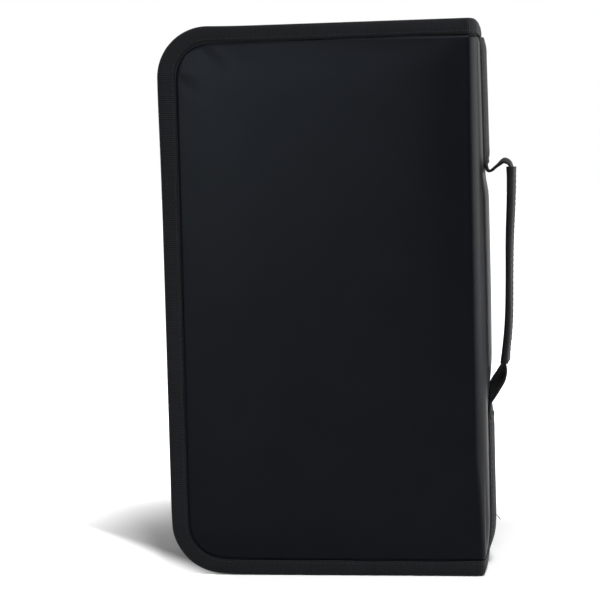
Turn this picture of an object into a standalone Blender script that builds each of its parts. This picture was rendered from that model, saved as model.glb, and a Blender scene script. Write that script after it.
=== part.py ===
"""A zip-around wallet for discs: two padded covers, a spine with a carrying handle, and sleeves inside.

It stands on its short bottom edge. +X points from the free edge to the spine, the front cover faces -Y,
and +Z is up. The origin is under the middle of the whole object's box, on the surface it stands on.
All sizes below are in millimetres.
"""

import math

import bmesh
import bpy
from mathutils import Vector

MM = 0.001
SEAT_GAP = 0.3              # between pieces that lie on each other
FRONT, BACK = -1, 1

# Closed case
CASE_HEIGHT = 290.0
COVER_WIDTH = 166.0         # free edge to the outer face of the spine
CASE_DEPTH = 70.0
CORNER_RADIUS = 26.0
FOLD_RADIUS = 5.0           # round fold between a cover and the spine
FOLD_SPLIT = 45.0           # where cover and spine part on the fold, in degrees
FOLD_SLIT = 3.0             # half of the slit there, in degrees

# Covers, from the outside in
BINDING_WIDTH = 8.0
BINDING_CLOTH = 0.7
SKIN_CLOTH = 0.7
PUFF = 1.1                  # how far the padded field stands proud
PUFF_RUN = 15.0             # from the fold to full height
PUFF_EDGE = 12.0            # from the binding to full height
SEAM_SLOPE = 1.4            # from the binding to the cover's own level
BOARD_THICKNESS = 1.8
LINING_THICKNESS = 0.8
SEAM_STEP = 0.5             # from the binding's edge to the wall of the gusset
GUSSET_CLOTH = 0.8
HINGE_RELIEF = 0.5          # boards and walls stop this far before the fold

# Zip
ZIP_WINDOW = 16.0           # between the two gussets
ZIP_SLIT = 1.6              # between the two rows, undone
TAPE_WIDTH = 12.0
TAPE_CLOTH = 0.6
COIL_WIDTH = 3.2
COIL_HEIGHT = 2.0
TOOTH_DEPTH = 1.1
TOOTH_PITCH = 3.0
COIL_LEAD = 7.0             # from the parked slider to the first tooth of the front row
STOP_LENGTH = 3.5

# Slider and pull tab
SLIDER_LENGTH = 14.0
SLIDER_PLATE = 1.4
SLIDER_SIDE = 0.9
SLIDER_NECK = 1.0
NECK_LENGTH = 4.0
SIDE_CLEARANCE = 0.4
SLIDER_PARK = 1.0           # from the gusset's end to the parked slider
BRIDGE_WIDTH = 3.0
BRIDGE_LENGTH = 9.0
BRIDGE_LEG = 1.2
BRIDGE_THICKNESS = 1.0
PULL_THICKNESS = 1.4
PULL_WIDTH = 8.0
PULL_ARM = 1.3
PULL_LENGTH = 30.0
PULL_HOLE = 1.7

# Spine and handle
SPINE_BULGE = 2.2
BULGE_FLAT = 14.0           # half of the width over which the bulge is full
STRAP_WIDTH = 25.0
STRAP_THICKNESS = 1.4
GRIP_WIDTH = 28.0
GRIP_WALL = 0.7
GRIP_LENGTH = 104.0
GRIP_TOP = 213.5            # heights above the surface
STRAP_LEAVES = 213.0
STRAP_RETURNS = 89.0
HANDLE_REACH = 17.7         # spine's face to the far face of the grip
GRIP_DRAWN_IN = 4.0             # how much nearer the grip's lower end is
HUMP_RISE = 5.2
BEND_RADIUS = 1.6           # where the strap turns away from the spine
LANDING_RUN = 8.0           # over which the strap settles on the spine again

# Sleeves
SLIDER_ROOM = 1.3           # between the slider's inner plate and the pages
PAGE_THICKNESS = 50.0       # the whole stack over the pockets
BOUND_THICKNESS = 12.0      # the stack at its bound margin
BOUND_MARGIN = 14.0
FAN_RUN = 34.0              # over which the stack opens from margin to pockets
LEAVES = 13
LEAF_STEP = 0.8
CLAMP_WIDTH = 10.0
CLAMP_THICKNESS = 2.0
CLAMP_END = 4.0             # from the page's end to the strip's end
BIND_ROOM = 2.0             # from the spine's lining to the pages
RIVET_COUNT = 6
RIVET_SHANK = 1.5
RIVET_HOLE = 1.8
RIVET_HEAD = 3.4
RIVET_HEAD_HEIGHT = 1.5
RIVET_END_MARGIN = 16.0

# Places worked out from the sizes
HALF_DEPTH = CASE_DEPTH / 2
LEFT = -(COVER_WIDTH + HANDLE_REACH) / 2
SPINE_FACE = LEFT + COVER_WIDTH
FOLD_X = SPINE_FACE - FOLD_RADIUS
WALL_END = FOLD_X - HINGE_RELIEF

SKIN_OUTER = BINDING_CLOTH + SEAT_GAP               # depths below the cover's outer face
SKIN_INNER = SKIN_OUTER + SKIN_CLOTH
FLANGE_OUTER = SKIN_INNER + SEAT_GAP
FLANGE_INNER = FLANGE_OUTER + GUSSET_CLOTH
LEG_OUTER = FLANGE_INNER + SEAT_GAP
LEG_INNER = LEG_OUTER + BINDING_CLOTH
BOARD_INNER = FLANGE_OUTER + BOARD_THICKNESS
LINING_OUTER = BOARD_INNER + SEAT_GAP
LINING_INNER = LINING_OUTER + LINING_THICKNESS
GUSSET_EDGE = HALF_DEPTH - ZIP_WINDOW / 2
ROW_TIP = HALF_DEPTH - ZIP_SLIT / 2

RIM_INSET = BINDING_CLOTH + SEAT_GAP                # insets from the cover's outline
WALL_OUTER = BINDING_WIDTH + SEAM_STEP
WALL_INNER = WALL_OUTER + GUSSET_CLOTH
INSIDE_INSET = WALL_INNER + SEAT_GAP
TAPE_INNER = INSIDE_INSET + TAPE_CLOTH
COIL_INNER = INSIDE_INSET - SEAT_GAP
COIL_OUTER = COIL_INNER - COIL_HEIGHT
PLATE_INNER = COIL_OUTER - SEAT_GAP
PLATE_OUTER = PLATE_INNER - SLIDER_PLATE
LOWER_OUTER = TAPE_INNER + SEAT_GAP
LOWER_INNER = LOWER_OUTER + SLIDER_PLATE
PAGE_INSET = LOWER_INNER + SLIDER_ROOM
INSIDE_CORNER = CORNER_RADIUS - INSIDE_INSET
PAGE_CORNER = CORNER_RADIUS - PAGE_INSET

SLIDER_HALF = ZIP_SLIT / 2 + COIL_WIDTH + SIDE_CLEARANCE + SLIDER_SIDE
SLIDER_X = WALL_END - SLIDER_PARK - SLIDER_LENGTH / 2
PIVOT_INSET = PLATE_OUTER - SEAT_GAP - PULL_THICKNESS / 2
PIVOT_Z = CASE_HEIGHT - PIVOT_INSET

PAGE_BACK = HALF_DEPTH - LINING_INNER - SEAT_GAP
PAGE_RIGHT = SPINE_FACE - LINING_INNER - BIND_ROOM
PAGE_LEFT = LEFT + PAGE_INSET
CLAMP_X = PAGE_RIGHT - BOUND_MARGIN / 2
CLAMP_BACK = PAGE_BACK - BOUND_THICKNESS - SEAT_GAP


# Materials

def material(name, colour, roughness, metallic=0.0):
    made = bpy.data.materials.new(name)
    made.use_nodes = True
    shader = made.node_tree.nodes["Principled BSDF"]
    shader.inputs["Base Color"].default_value = (*colour, 1.0)
    shader.inputs["Roughness"].default_value = roughness
    shader.inputs["Metallic"].default_value = metallic
    return made


def make_materials():
    return {
        "cover_fabric": material("cover_fabric", (0.013, 0.014, 0.019), 0.55),
        "binding": material("binding", (0.016, 0.016, 0.020), 0.75),
        "webbing": material("webbing", (0.020, 0.020, 0.024), 0.70),
        "grip": material("grip", (0.018, 0.018, 0.022), 0.60),
        "lining": material("lining", (0.022, 0.022, 0.025), 0.85),
        "board": material("board", (0.30, 0.26, 0.20), 0.90),
        "zip_tape": material("zip_tape", (0.014, 0.014, 0.017), 0.85),
        "zip_coil": material("zip_coil", (0.012, 0.012, 0.014), 0.40),
        "slider": material("slider", (0.020, 0.020, 0.022), 0.35, 0.6),
        "sleeve": material("sleeve", (0.060, 0.060, 0.066), 0.45),
        "clamp": material("clamp", (0.015, 0.015, 0.017), 0.45),
    }


# Making objects

def finish_object(name, mesh_builder, slot, materials, smooth=True):
    bmesh.ops.recalc_face_normals(mesh_builder, faces=mesh_builder.faces)
    bmesh.ops.scale(mesh_builder, vec=(MM, MM, MM), verts=mesh_builder.verts)
    mesh = bpy.data.meshes.new(name)
    mesh_builder.to_mesh(mesh)
    mesh_builder.free()
    mesh.materials.append(materials[slot])
    if smooth:
        mesh.shade_smooth()
        mesh.set_sharp_from_angle(angle=math.radians(32))
    made = bpy.data.objects.new(name, mesh)
    bpy.context.collection.objects.link(made)
    return made


def loft(rings, mesh_builder=None):
    """Closed rings of equal length joined in order, with a face over each end."""
    shape = mesh_builder or bmesh.new()
    rows = [[shape.verts.new(point) for point in ring] for ring in rings]
    count = len(rows[0])
    for first, second in zip(rows, rows[1:]):
        for k in range(count):
            shape.faces.new((first[k], first[(k + 1) % count], second[(k + 1) % count], second[k]))
    shape.faces.new(rows[0])
    shape.faces.new(list(reversed(rows[-1])))
    return shape


def box(low, high, mesh_builder=None):
    rings = []
    for x in (low[0], high[0]):
        rings.append([(x, low[1], low[2]), (x, high[1], low[2]), (x, high[1], high[2]), (x, low[1], high[2])])
    return loft(rings, mesh_builder)


def round_bar(start, along, length, radius, sides=16):
    """A straight round bar from start along one of the axes."""
    axis = Vector(along)
    across = axis.orthogonal().normalized()
    other = axis.cross(across)
    rings = []
    for step in (0.0, length):
        centre = Vector(start) + axis * step
        rings.append([
            centre + radius * (math.cos(2 * math.pi * k / sides) * across + math.sin(2 * math.pi * k / sides) * other)
            for k in range(sides)
        ])
    return loft(rings)


def combine(made, operation, helper):
    """A Boolean with a helper object that isn't a piece of its own."""
    helper.hide_render = True
    helper.display_type = "WIRE"
    step = made.modifiers.new(operation.lower(), "BOOLEAN")
    step.operation = operation
    step.solver = "EXACT"
    step.object = helper


# Stations on the outline of a cover

class Station:
    """A place on the outline: it turns an inset and a depth into a point."""

    def __init__(self, side, x, z, out_x, out_z, turn=0.0, puff=1.0):
        self.side, self.x, self.z = side, x, z
        self.out_x, self.out_z = out_x, out_z
        self.turn, self.puff = turn, puff

    def point(self, inset, depth):
        depth = depth if depth > 0 else depth * self.puff
        if self.turn:
            reach = FOLD_RADIUS - depth
            angle = math.radians(self.turn)
            return (
                FOLD_X + reach * math.sin(angle),
                self.side * (HALF_DEPTH - FOLD_RADIUS + reach * math.cos(angle)),
                self.z - inset * self.out_z,
            )
        return (self.x - inset * self.out_x, self.side * (HALF_DEPTH - depth), self.z - inset * self.out_z)


def corner_stations(side, top, steps):
    centre_z = CASE_HEIGHT - CORNER_RADIUS if top else CORNER_RADIUS
    first, last = (180.0, 90.0) if top else (270.0, 180.0)
    stations = []
    for k in range(steps + 1):
        angle = math.radians(first + (last - first) * k / steps)
        out = (math.cos(angle), math.sin(angle))
        stations.append(Station(
            side, LEFT + CORNER_RADIUS + CORNER_RADIUS * out[0], centre_z + CORNER_RADIUS * out[1], *out))
    return stations


def outline_stations(side, right, steps=9):
    """Bottom edge, free edge and top edge, from the spine's end round to the spine's end."""
    low = [Station(side, right, 0.0, 0.0, -1.0)]
    high = [Station(side, right, CASE_HEIGHT, 0.0, 1.0)]
    return low + corner_stations(side, False, steps) + corner_stations(side, True, steps) + high


def fold_stations(side, top, first, last, steps=4):
    """Round the fold, from the cover's flat to the spine's face."""
    z, out = (CASE_HEIGHT, 1.0) if top else (0.0, -1.0)
    turns = [first + (last - first) * k / steps for k in range(steps + 1)]
    return [Station(side, FOLD_X, z, 0.0, out, turn=max(turn, 1e-6), puff=0.0) for turn in turns]


# Pieces of a cover

def cover_panel(side, name, materials):
    """The padded outer skin: it dips under the binding, swells inside the seam and starts the fold."""
    profile = [
        (BINDING_WIDTH + PUFF_EDGE, -PUFF), (BINDING_WIDTH + 0.5 * PUFF_EDGE, -0.8 * PUFF),
        (BINDING_WIDTH + 0.25 * PUFF_EDGE, -0.35 * PUFF), (BINDING_WIDTH + SEAM_SLOPE, 0.0),
        (BINDING_WIDTH + SEAT_GAP, SKIN_OUTER), (RIM_INSET, SKIN_OUTER), (RIM_INSET, SKIN_INNER),
    ]
    last_turn = FOLD_SPLIT - FOLD_SLIT
    low_fold = list(reversed(fold_stations(side, False, 0.0, last_turn)))
    high_fold = fold_stations(side, True, 0.0, last_turn)
    edge = outline_stations(side, FOLD_X - PUFF_RUN)
    stations = low_fold + edge + high_fold
    ladder = len(low_fold)

    shape = bmesh.new()
    rows = [[shape.verts.new(station.point(*spot)) for spot in profile] for station in stations]
    for first, second in zip(rows, rows[1:]):
        for k in range(len(profile) - 1):
            shape.faces.new((first[k], first[k + 1], second[k + 1], second[k]))
    for k in (0, len(profile) - 1):
        for i in range(ladder):
            shape.faces.new((rows[i][k], rows[i + 1][k], rows[-2 - i][k], rows[-1 - i][k]))
        shape.faces.new([row[k] for row in rows[ladder:len(rows) - ladder]])
    shape.faces.new(rows[0] + list(reversed(rows[-1])))
    return finish_object(name, shape, "cover_fabric", materials)


def flat_plate(side, name, outer, inner, slot, materials):
    """A board or lining inside the gusset's wall."""
    low, high = INSIDE_INSET, CASE_HEIGHT - INSIDE_INSET
    left = LEFT + INSIDE_INSET
    outline = [(WALL_END, low)]
    for centre_z, first in ((low + INSIDE_CORNER, 270.0), (high - INSIDE_CORNER, 180.0)):
        for k in range(7):
            angle = math.radians(first - 15.0 * k)
            outline.append((
                left + INSIDE_CORNER * (1 + math.cos(angle)),
                centre_z + INSIDE_CORNER * math.sin(angle),
            ))
    outline.append((WALL_END, high))
    rings = [[(x, side * (HALF_DEPTH - depth), z) for x, z in outline] for depth in (outer, inner)]
    return finish_object(name, loft(rings), slot, materials)


BINDING_SECTION = [
    (0.0, 0.0), (BINDING_WIDTH, 0.0), (BINDING_WIDTH, BINDING_CLOTH), (BINDING_CLOTH, BINDING_CLOTH),
    (BINDING_CLOTH, LEG_OUTER), (BINDING_WIDTH, LEG_OUTER), (BINDING_WIDTH, LEG_INNER), (0.0, LEG_INNER),
]


def swept(name, stations, section, slot, materials):
    return finish_object(name, loft([[s.point(*spot) for spot in section] for s in stations]), slot, materials)


def cover_binding(side, name, materials):
    """Tape folded over the cover's edge on three sides, up to the split of the fold."""
    last_turn = FOLD_SPLIT - FOLD_SLIT
    stations = (
        list(reversed(fold_stations(side, False, 0.0, last_turn)))
        + outline_stations(side, FOLD_X - PUFF_RUN)
        + fold_stations(side, True, 0.0, last_turn)
    )
    return swept(name, stations, BINDING_SECTION, "binding", materials)


def gusset(side, name, materials):
    """The wall from the cover to the zip, with the flange that the binding holds."""
    section = [
        (RIM_INSET, FLANGE_OUTER), (WALL_INNER, FLANGE_OUTER), (WALL_INNER, GUSSET_EDGE),
        (WALL_OUTER, GUSSET_EDGE), (WALL_OUTER, FLANGE_INNER), (RIM_INSET, FLANGE_INNER),
    ]
    return swept(name, outline_stations(side, WALL_END), section, "cover_fabric", materials)


def zip_tape(side, name, materials):
    section = [
        (INSIDE_INSET, ROW_TIP - TAPE_WIDTH), (TAPE_INNER, ROW_TIP - TAPE_WIDTH),
        (TAPE_INNER, ROW_TIP), (INSIDE_INSET, ROW_TIP),
    ]
    return swept(name, outline_stations(side, WALL_END), section, "zip_tape", materials)


def path_point(side, right, distance):
    """The station at a distance along the outline from the spine's end at the bottom."""
    straight = right - LEFT - CORNER_RADIUS
    arc = CORNER_RADIUS * math.pi / 2
    rise = CASE_HEIGHT - 2 * CORNER_RADIUS
    if distance <= straight:
        return Station(side, right - distance, 0.0, 0.0, -1.0)
    distance -= straight
    if distance <= arc:
        angle = math.radians(270.0) - distance / CORNER_RADIUS
        return Station(side, LEFT + CORNER_RADIUS * (1 + math.cos(angle)),
                       CORNER_RADIUS * (1 + math.sin(angle)), math.cos(angle), math.sin(angle))
    distance -= arc
    if distance <= rise:
        return Station(side, LEFT, CORNER_RADIUS + distance, -1.0, 0.0)
    distance -= rise
    if distance <= arc:
        angle = math.radians(180.0) - distance / CORNER_RADIUS
        return Station(side, LEFT + CORNER_RADIUS * (1 + math.cos(angle)),
                       CASE_HEIGHT - CORNER_RADIUS * (1 - math.sin(angle)), math.cos(angle), math.sin(angle))
    distance -= arc
    return Station(side, LEFT + CORNER_RADIUS + distance, CASE_HEIGHT, 0.0, 1.0)


def path_length(right):
    return 2 * (right - LEFT - CORNER_RADIUS) + CORNER_RADIUS * math.pi + CASE_HEIGHT - 2 * CORNER_RADIUS


def zip_coil(side, name, first, last, materials):
    """One row of the zip: a bar along the tape whose free side rises and falls into teeth."""
    count = round((last - first) / TOOTH_PITCH)
    rings = []
    for k in range(2 * count + 1):
        station = path_point(side, WALL_END, first + (last - first) * k / (2 * count))
        tip = ROW_TIP if k % 2 else ROW_TIP - TOOTH_DEPTH
        root = ROW_TIP - COIL_WIDTH
        rings.append([station.point(*spot) for spot in (
            (COIL_INNER, root), (COIL_INNER, tip), (COIL_OUTER, tip), (COIL_OUTER, root))])
    return finish_object(name, loft(rings), "zip_coil", materials, smooth=False)


def zip_stop(side, name, materials):
    """The clip at the end of a row, on the bottom wall beside the spine."""
    stations = [path_point(side, WALL_END, spot) for spot in (SEAT_GAP, SEAT_GAP + STOP_LENGTH)]
    section = [
        (COIL_INNER, ROW_TIP - COIL_WIDTH), (COIL_INNER, ROW_TIP),
        (COIL_OUTER - SEAT_GAP, ROW_TIP), (COIL_OUTER - SEAT_GAP, ROW_TIP - COIL_WIDTH),
    ]
    return swept(name, stations, section, "slider", materials)


def make_cover(side, prefix, materials):
    panel = cover_panel(side, prefix + "_cover_panel", materials)
    board = flat_plate(side, prefix + "_cover_board", FLANGE_OUTER, BOARD_INNER, "board", materials)
    lining = flat_plate(side, prefix + "_cover_lining", LINING_OUTER, LINING_INNER, "lining", materials)
    first_tooth = 2 * SEAT_GAP + STOP_LENGTH
    last_tooth = path_length(WALL_END)
    if side == FRONT:
        last_tooth -= SLIDER_PARK + SLIDER_LENGTH + COIL_LEAD
    return [
        panel, board, lining,
        cover_binding(side, prefix + "_binding", materials),
        gusset(side, prefix + "_gusset", materials),
        zip_tape(side, prefix + "_zip_tape", materials),
        zip_coil(side, prefix + "_zip_coil", first_tooth, last_tooth, materials),
        zip_stop(side, prefix + "_zip_stop", materials),
    ]


# Spine

def bulge(y, z):
    """How far the spine's face stands out: full along the strap, nothing at the folds and ends."""
    flat_half = HALF_DEPTH - FOLD_RADIUS
    if abs(y) <= BULGE_FLAT:
        across = 1.0
    else:
        across = 0.5 + 0.5 * math.cos(math.pi * min(1.0, (abs(y) - BULGE_FLAT) / (flat_half - BULGE_FLAT)))
    along = 1.0 - (2.0 * z / CASE_HEIGHT - 1.0) ** 2
    return SPINE_BULGE * across * along


def spine_panel(materials):
    rim_run = BINDING_WIDTH + SEAT_GAP
    field_run = BINDING_WIDTH + SEAM_SLOPE
    rows = 12
    heights = [(RIM_INSET, SKIN_INNER), (RIM_INSET, SKIN_OUTER), (rim_run, SKIN_OUTER)]
    heights += [(field_run + (CASE_HEIGHT - 2 * field_run) * k / rows, 0.0) for k in range(rows + 1)]
    heights += [(CASE_HEIGHT - z, depth) for z, depth in ((rim_run, SKIN_OUTER), (RIM_INSET, SKIN_OUTER))]
    heights.append((CASE_HEIGHT - RIM_INSET, SKIN_INNER))

    rings = []
    turns = [FOLD_SPLIT + FOLD_SLIT + (90.0 - FOLD_SPLIT - FOLD_SLIT) * k / 4 for k in range(4)]
    flat_half = HALF_DEPTH - FOLD_RADIUS
    for turn in turns:
        station = Station(FRONT, 0.0, 0.0, 0.0, -1.0, turn=turn)
        rings.append([station.point(z, depth) for z, depth in heights])
    for k in range(-8, 9):
        y = flat_half * k / 8
        rings.append([(
            SPINE_FACE - depth + (bulge(y, z) if depth == 0.0 else 0.0), y, z) for z, depth in heights])
    for turn in reversed(turns):
        station = Station(BACK, 0.0, 0.0, 0.0, -1.0, turn=turn)
        rings.append([station.point(z, depth) for z, depth in heights])
    return finish_object("spine_panel", loft(rings), "cover_fabric", materials)


def spine_binding(name, top, materials):
    """The same tape over the spine's end, from fold to fold."""
    first_turn = FOLD_SPLIT + FOLD_SLIT
    stations = fold_stations(FRONT, top, first_turn, 90.0)
    stations += list(reversed(fold_stations(BACK, top, first_turn, 90.0)))
    return swept(name, stations, BINDING_SECTION, "binding", materials)


def spine_plate(name, outer, inner, slot, materials):
    flat_half = HALF_DEPTH - FOLD_RADIUS - HINGE_RELIEF
    low = (SPINE_FACE - inner, -flat_half, INSIDE_INSET)
    high = (SPINE_FACE - outer, flat_half, CASE_HEIGHT - INSIDE_INSET)
    return finish_object(name, box(low, high), slot, materials, smooth=False)


# Handle

def smooth_path(spots, steps):
    """A smooth line through the spots, in the plane of the handle."""
    line = []
    points = [Vector(spot) for spot in spots]
    for k in range(len(points) - 1):
        before = points[max(k - 1, 0)]
        after = points[min(k + 2, len(points) - 1)]
        start, end = points[k], points[k + 1]
        span = (end - start).length
        lead = (end - before).normalized() * span / 3
        trail = (after - start).normalized() * span / 3
        for i in range(steps):
            t = i / steps
            line.append(
                (1 - t) ** 3 * start + 3 * (1 - t) ** 2 * t * (start + lead)
                + 3 * (1 - t) * t ** 2 * (end - trail) + t ** 3 * end)
    line.append(points[-1])
    return line


def ribbon(line, thickness):
    """Both sides of a line at half the thickness, as one closed outline."""
    left, right = [], []
    for k, spot in enumerate(line):
        along = (line[min(k + 1, len(line) - 1)] - line[max(k - 1, 0)]).normalized()
        across = Vector((-along.y, along.x)) * thickness / 2
        left.append(spot + across)
        right.append(spot - across)
    return left, right


def strap_on_spine(z):
    return SPINE_FACE + bulge(0.0, z) + SEAT_GAP + STRAP_THICKNESS / 2


def grip_line(z):
    """The middle of the grip: straight at its upper half, nearer to the spine at its lower end."""
    share = (GRIP_TOP - z) / GRIP_LENGTH
    half = STRAP_THICKNESS / 2 + SEAT_GAP + GRIP_WALL
    return SPINE_FACE + HANDLE_REACH - half - GRIP_DRAWN_IN * share ** 1.5


def handle_line():
    """The strap's middle line from the top binding to the bottom binding, as (x, z)."""
    top = CASE_HEIGHT - BINDING_WIDTH - SEAT_GAP
    bottom = BINDING_WIDTH + SEAT_GAP
    bend = STRAP_LEAVES + BEND_RADIUS
    upper = [top + (bend + 2.0 - top) * k / 6 for k in range(7)]
    spots = [(strap_on_spine(z), z) for z in upper]
    leave = strap_on_spine(bend)
    grip_x = grip_line(GRIP_TOP)
    reach = grip_x - leave
    spots += [
        (leave + BEND_RADIUS, STRAP_LEAVES + 0.2),
        (leave + 0.42 * reach, STRAP_LEAVES + 0.45 * HUMP_RISE),
        (leave + 0.72 * reach, STRAP_LEAVES + HUMP_RISE),
        (leave + 0.93 * reach, STRAP_LEAVES + 0.8 * HUMP_RISE),
        (grip_x, GRIP_TOP + SEAT_GAP),
    ]
    spots += [(grip_line(GRIP_TOP - GRIP_LENGTH * k / 8), GRIP_TOP - GRIP_LENGTH * k / 8) for k in range(1, 9)]
    grip_end = GRIP_TOP - GRIP_LENGTH
    landing = strap_on_spine(STRAP_RETURNS)
    drop = grip_end - STRAP_RETURNS
    end_reach = grip_line(grip_end) - landing
    spots += [
        (landing + 0.72 * end_reach, grip_end - 0.42 * drop),
        (landing + 0.30 * end_reach, grip_end - 0.75 * drop),
        (strap_on_spine(STRAP_RETURNS - LANDING_RUN / 4), STRAP_RETURNS - LANDING_RUN / 4),
    ]
    settled = STRAP_RETURNS - LANDING_RUN
    lower = [settled + (bottom - settled) * k / 5 for k in range(6)]
    return spots + [(strap_on_spine(z), z) for z in lower]


def handle_strap(materials):
    """Webbing sewn along the spine, which leaves it in a hump and comes back below the grip."""
    left, right = ribbon(smooth_path(handle_line(), 3), STRAP_THICKNESS)
    rings = []
    for a, b in zip(left, right):
        rings.append([(a.x, -STRAP_WIDTH / 2, a.y), (a.x, STRAP_WIDTH / 2, a.y),
                      (b.x, STRAP_WIDTH / 2, b.y), (b.x, -STRAP_WIDTH / 2, b.y)])
    return finish_object("handle_strap", loft(rings), "webbing", materials)


def handle_grip(materials):
    """A flat sleeve round the strap, open at both ends."""
    steps = 8
    line = [Vector((grip_line(GRIP_TOP - GRIP_LENGTH * k / steps), GRIP_TOP - GRIP_LENGTH * k / steps))
            for k in range(steps + 1)]
    hollow = STRAP_THICKNESS + 2 * SEAT_GAP
    outer_left, outer_right = ribbon(line, hollow + 2 * GRIP_WALL)
    inner_left, inner_right = ribbon(line, hollow)
    inner_half = STRAP_WIDTH / 2 + SEAT_GAP
    shape = bmesh.new()
    rows = []
    for ol, orr, il, ir in zip(outer_left, outer_right, inner_left, inner_right):
        outer = [(ol.x, -GRIP_WIDTH / 2, ol.y), (ol.x, GRIP_WIDTH / 2, ol.y),
                 (orr.x, GRIP_WIDTH / 2, orr.y), (orr.x, -GRIP_WIDTH / 2, orr.y)]
        inner = [(il.x, -inner_half, il.y), (il.x, inner_half, il.y),
                 (ir.x, inner_half, ir.y), (ir.x, -inner_half, ir.y)]
        rows.append(([shape.verts.new(p) for p in outer], [shape.verts.new(p) for p in inner]))
    for (outer_a, inner_a), (outer_b, inner_b) in zip(rows, rows[1:]):
        for k in range(4):
            n = (k + 1) % 4
            shape.faces.new((outer_a[k], outer_a[n], outer_b[n], outer_b[k]))
            shape.faces.new((inner_a[n], inner_a[k], inner_b[k], inner_b[n]))
    for outer, inner in (rows[0], rows[-1]):
        for k in range(4):
            n = (k + 1) % 4
            shape.faces.new((outer[k], outer[n], inner[n], inner[k]))
    return finish_object("handle_grip", shape, "grip", materials)


# Zip slider and pull tab

def slider_outline(length, half):
    """Seen from above: blunt at the mouth, narrower at the tail."""
    tail = length / 2
    return [(-tail, -0.62 * half), (-tail + 1.2, -0.8 * half), (0.1 * length, -half), (tail - 1.4, -half),
            (tail, -0.75 * half), (tail, 0.75 * half), (tail - 1.4, half), (0.1 * length, half),
            (-tail + 1.2, 0.8 * half), (-tail, 0.62 * half)]


def slider_plate(outer, inner, half):
    rings = [[(SLIDER_X + x, y, CASE_HEIGHT - inset) for x, y in slider_outline(SLIDER_LENGTH, half)]
             for inset in (outer, inner)]
    return loft(rings)


def zip_slider(materials):
    """Two plates held apart by a neck, with sides that keep the rows in, and a bridge for the tab."""
    made = finish_object("zip_slider", slider_plate(PLATE_OUTER, PLATE_INNER, SLIDER_HALF), "slider", materials)
    overlap = 0.2
    low_plate = slider_plate(LOWER_OUTER, LOWER_INNER, SLIDER_HALF - 0.4)
    helpers = [finish_object("slider_low_plate", low_plate, "slider", materials)]
    neck_end = SLIDER_X + SLIDER_LENGTH / 2 - 1.0
    neck = box((neck_end - NECK_LENGTH, -SLIDER_NECK / 2, CASE_HEIGHT - LOWER_OUTER - overlap),
               (neck_end, SLIDER_NECK / 2, CASE_HEIGHT - PLATE_INNER + overlap))
    helpers.append(finish_object("slider_neck", neck, "slider", materials))
    side_start = SLIDER_X + 0.1 * SLIDER_LENGTH
    side_end = SLIDER_X + SLIDER_LENGTH / 2 - 1.4
    for side in (FRONT, BACK):
        ys = sorted((side * (SLIDER_HALF - SLIDER_SIDE), side * SLIDER_HALF))
        wall = box((side_start, ys[0], CASE_HEIGHT - COIL_INNER), (side_end, ys[1], CASE_HEIGHT - PLATE_INNER + overlap))
        helpers.append(finish_object("slider_side", wall, "slider", materials))
    under = PIVOT_Z + PULL_THICKNESS / 2 + SEAT_GAP
    half_length, half_width = BRIDGE_LENGTH / 2, BRIDGE_WIDTH / 2
    base = CASE_HEIGHT - PLATE_OUTER - overlap
    outline = [
        (-half_length, base), (-half_length, under), (-half_length + 1.0, under + BRIDGE_THICKNESS),
        (half_length - 1.0, under + BRIDGE_THICKNESS), (half_length, under), (half_length, base),
        (half_length - BRIDGE_LEG, base), (half_length - BRIDGE_LEG, under),
        (-half_length + BRIDGE_LEG, under), (-half_length + BRIDGE_LEG, base),
    ]
    rings = [[(SLIDER_X + x, y, z) for x, z in outline] for y in (-half_width, half_width)]
    helpers.append(finish_object("slider_bridge", loft(rings), "slider", materials))
    for helper in helpers:
        combine(made, "UNION", helper)
    return made


def zip_pull(materials):
    """A flat tab with two arms round the bridge and a bar under it. Its origin is on the bar."""
    inner_half = BRIDGE_WIDTH / 2 + SIDE_CLEARANCE
    arm_half = inner_half + PULL_ARM
    bar = PULL_THICKNESS / 2
    eye = BRIDGE_LENGTH / 2 + 1.3
    rear = 0.7
    tip_radius = PULL_WIDTH / 2
    outline = [(rear, -arm_half), (rear, arm_half), (-eye, arm_half), (-eye - 3.0, tip_radius)]
    for k in range(9):
        angle = math.radians(90.0 + 180.0 * k / 8)
        outline.append((-(PULL_LENGTH - tip_radius) + tip_radius * math.cos(angle), tip_radius * math.sin(angle)))
    outline += [(-eye - 3.0, -tip_radius), (-eye, -arm_half)]
    rings = [[(x, y, z) for x, y in outline] for z in (-bar, bar)]
    made = finish_object("zip_pull", loft(rings), "slider", materials)
    made.location = (SLIDER_X * MM, 0.0, PIVOT_Z * MM)
    eye_hole = box((-eye, -inner_half, -2 * bar), (-bar, inner_half, 2 * bar))
    hole_spot = (-(PULL_LENGTH - tip_radius), 0.0, -2 * bar)
    for name, shape in (("pull_eye", eye_hole), ("pull_hole", round_bar(hole_spot, (0, 0, 1), 4 * bar, PULL_HOLE))):
        helper = finish_object(name, shape, "slider", materials)
        helper.location = made.location
        combine(made, "DIFFERENCE", helper)
    return made


# Sleeves and what binds them

def stack_thickness(x):
    """Thin where it is bound, opening out to the full stack over the pockets."""
    start = PAGE_RIGHT - BOUND_MARGIN
    share = min(1.0, max(0.0, (start - x) / FAN_RUN))
    ease = share * share * (3 - 2 * share)
    return BOUND_THICKNESS + (PAGE_THICKNESS - BOUND_THICKNESS) * ease


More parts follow.
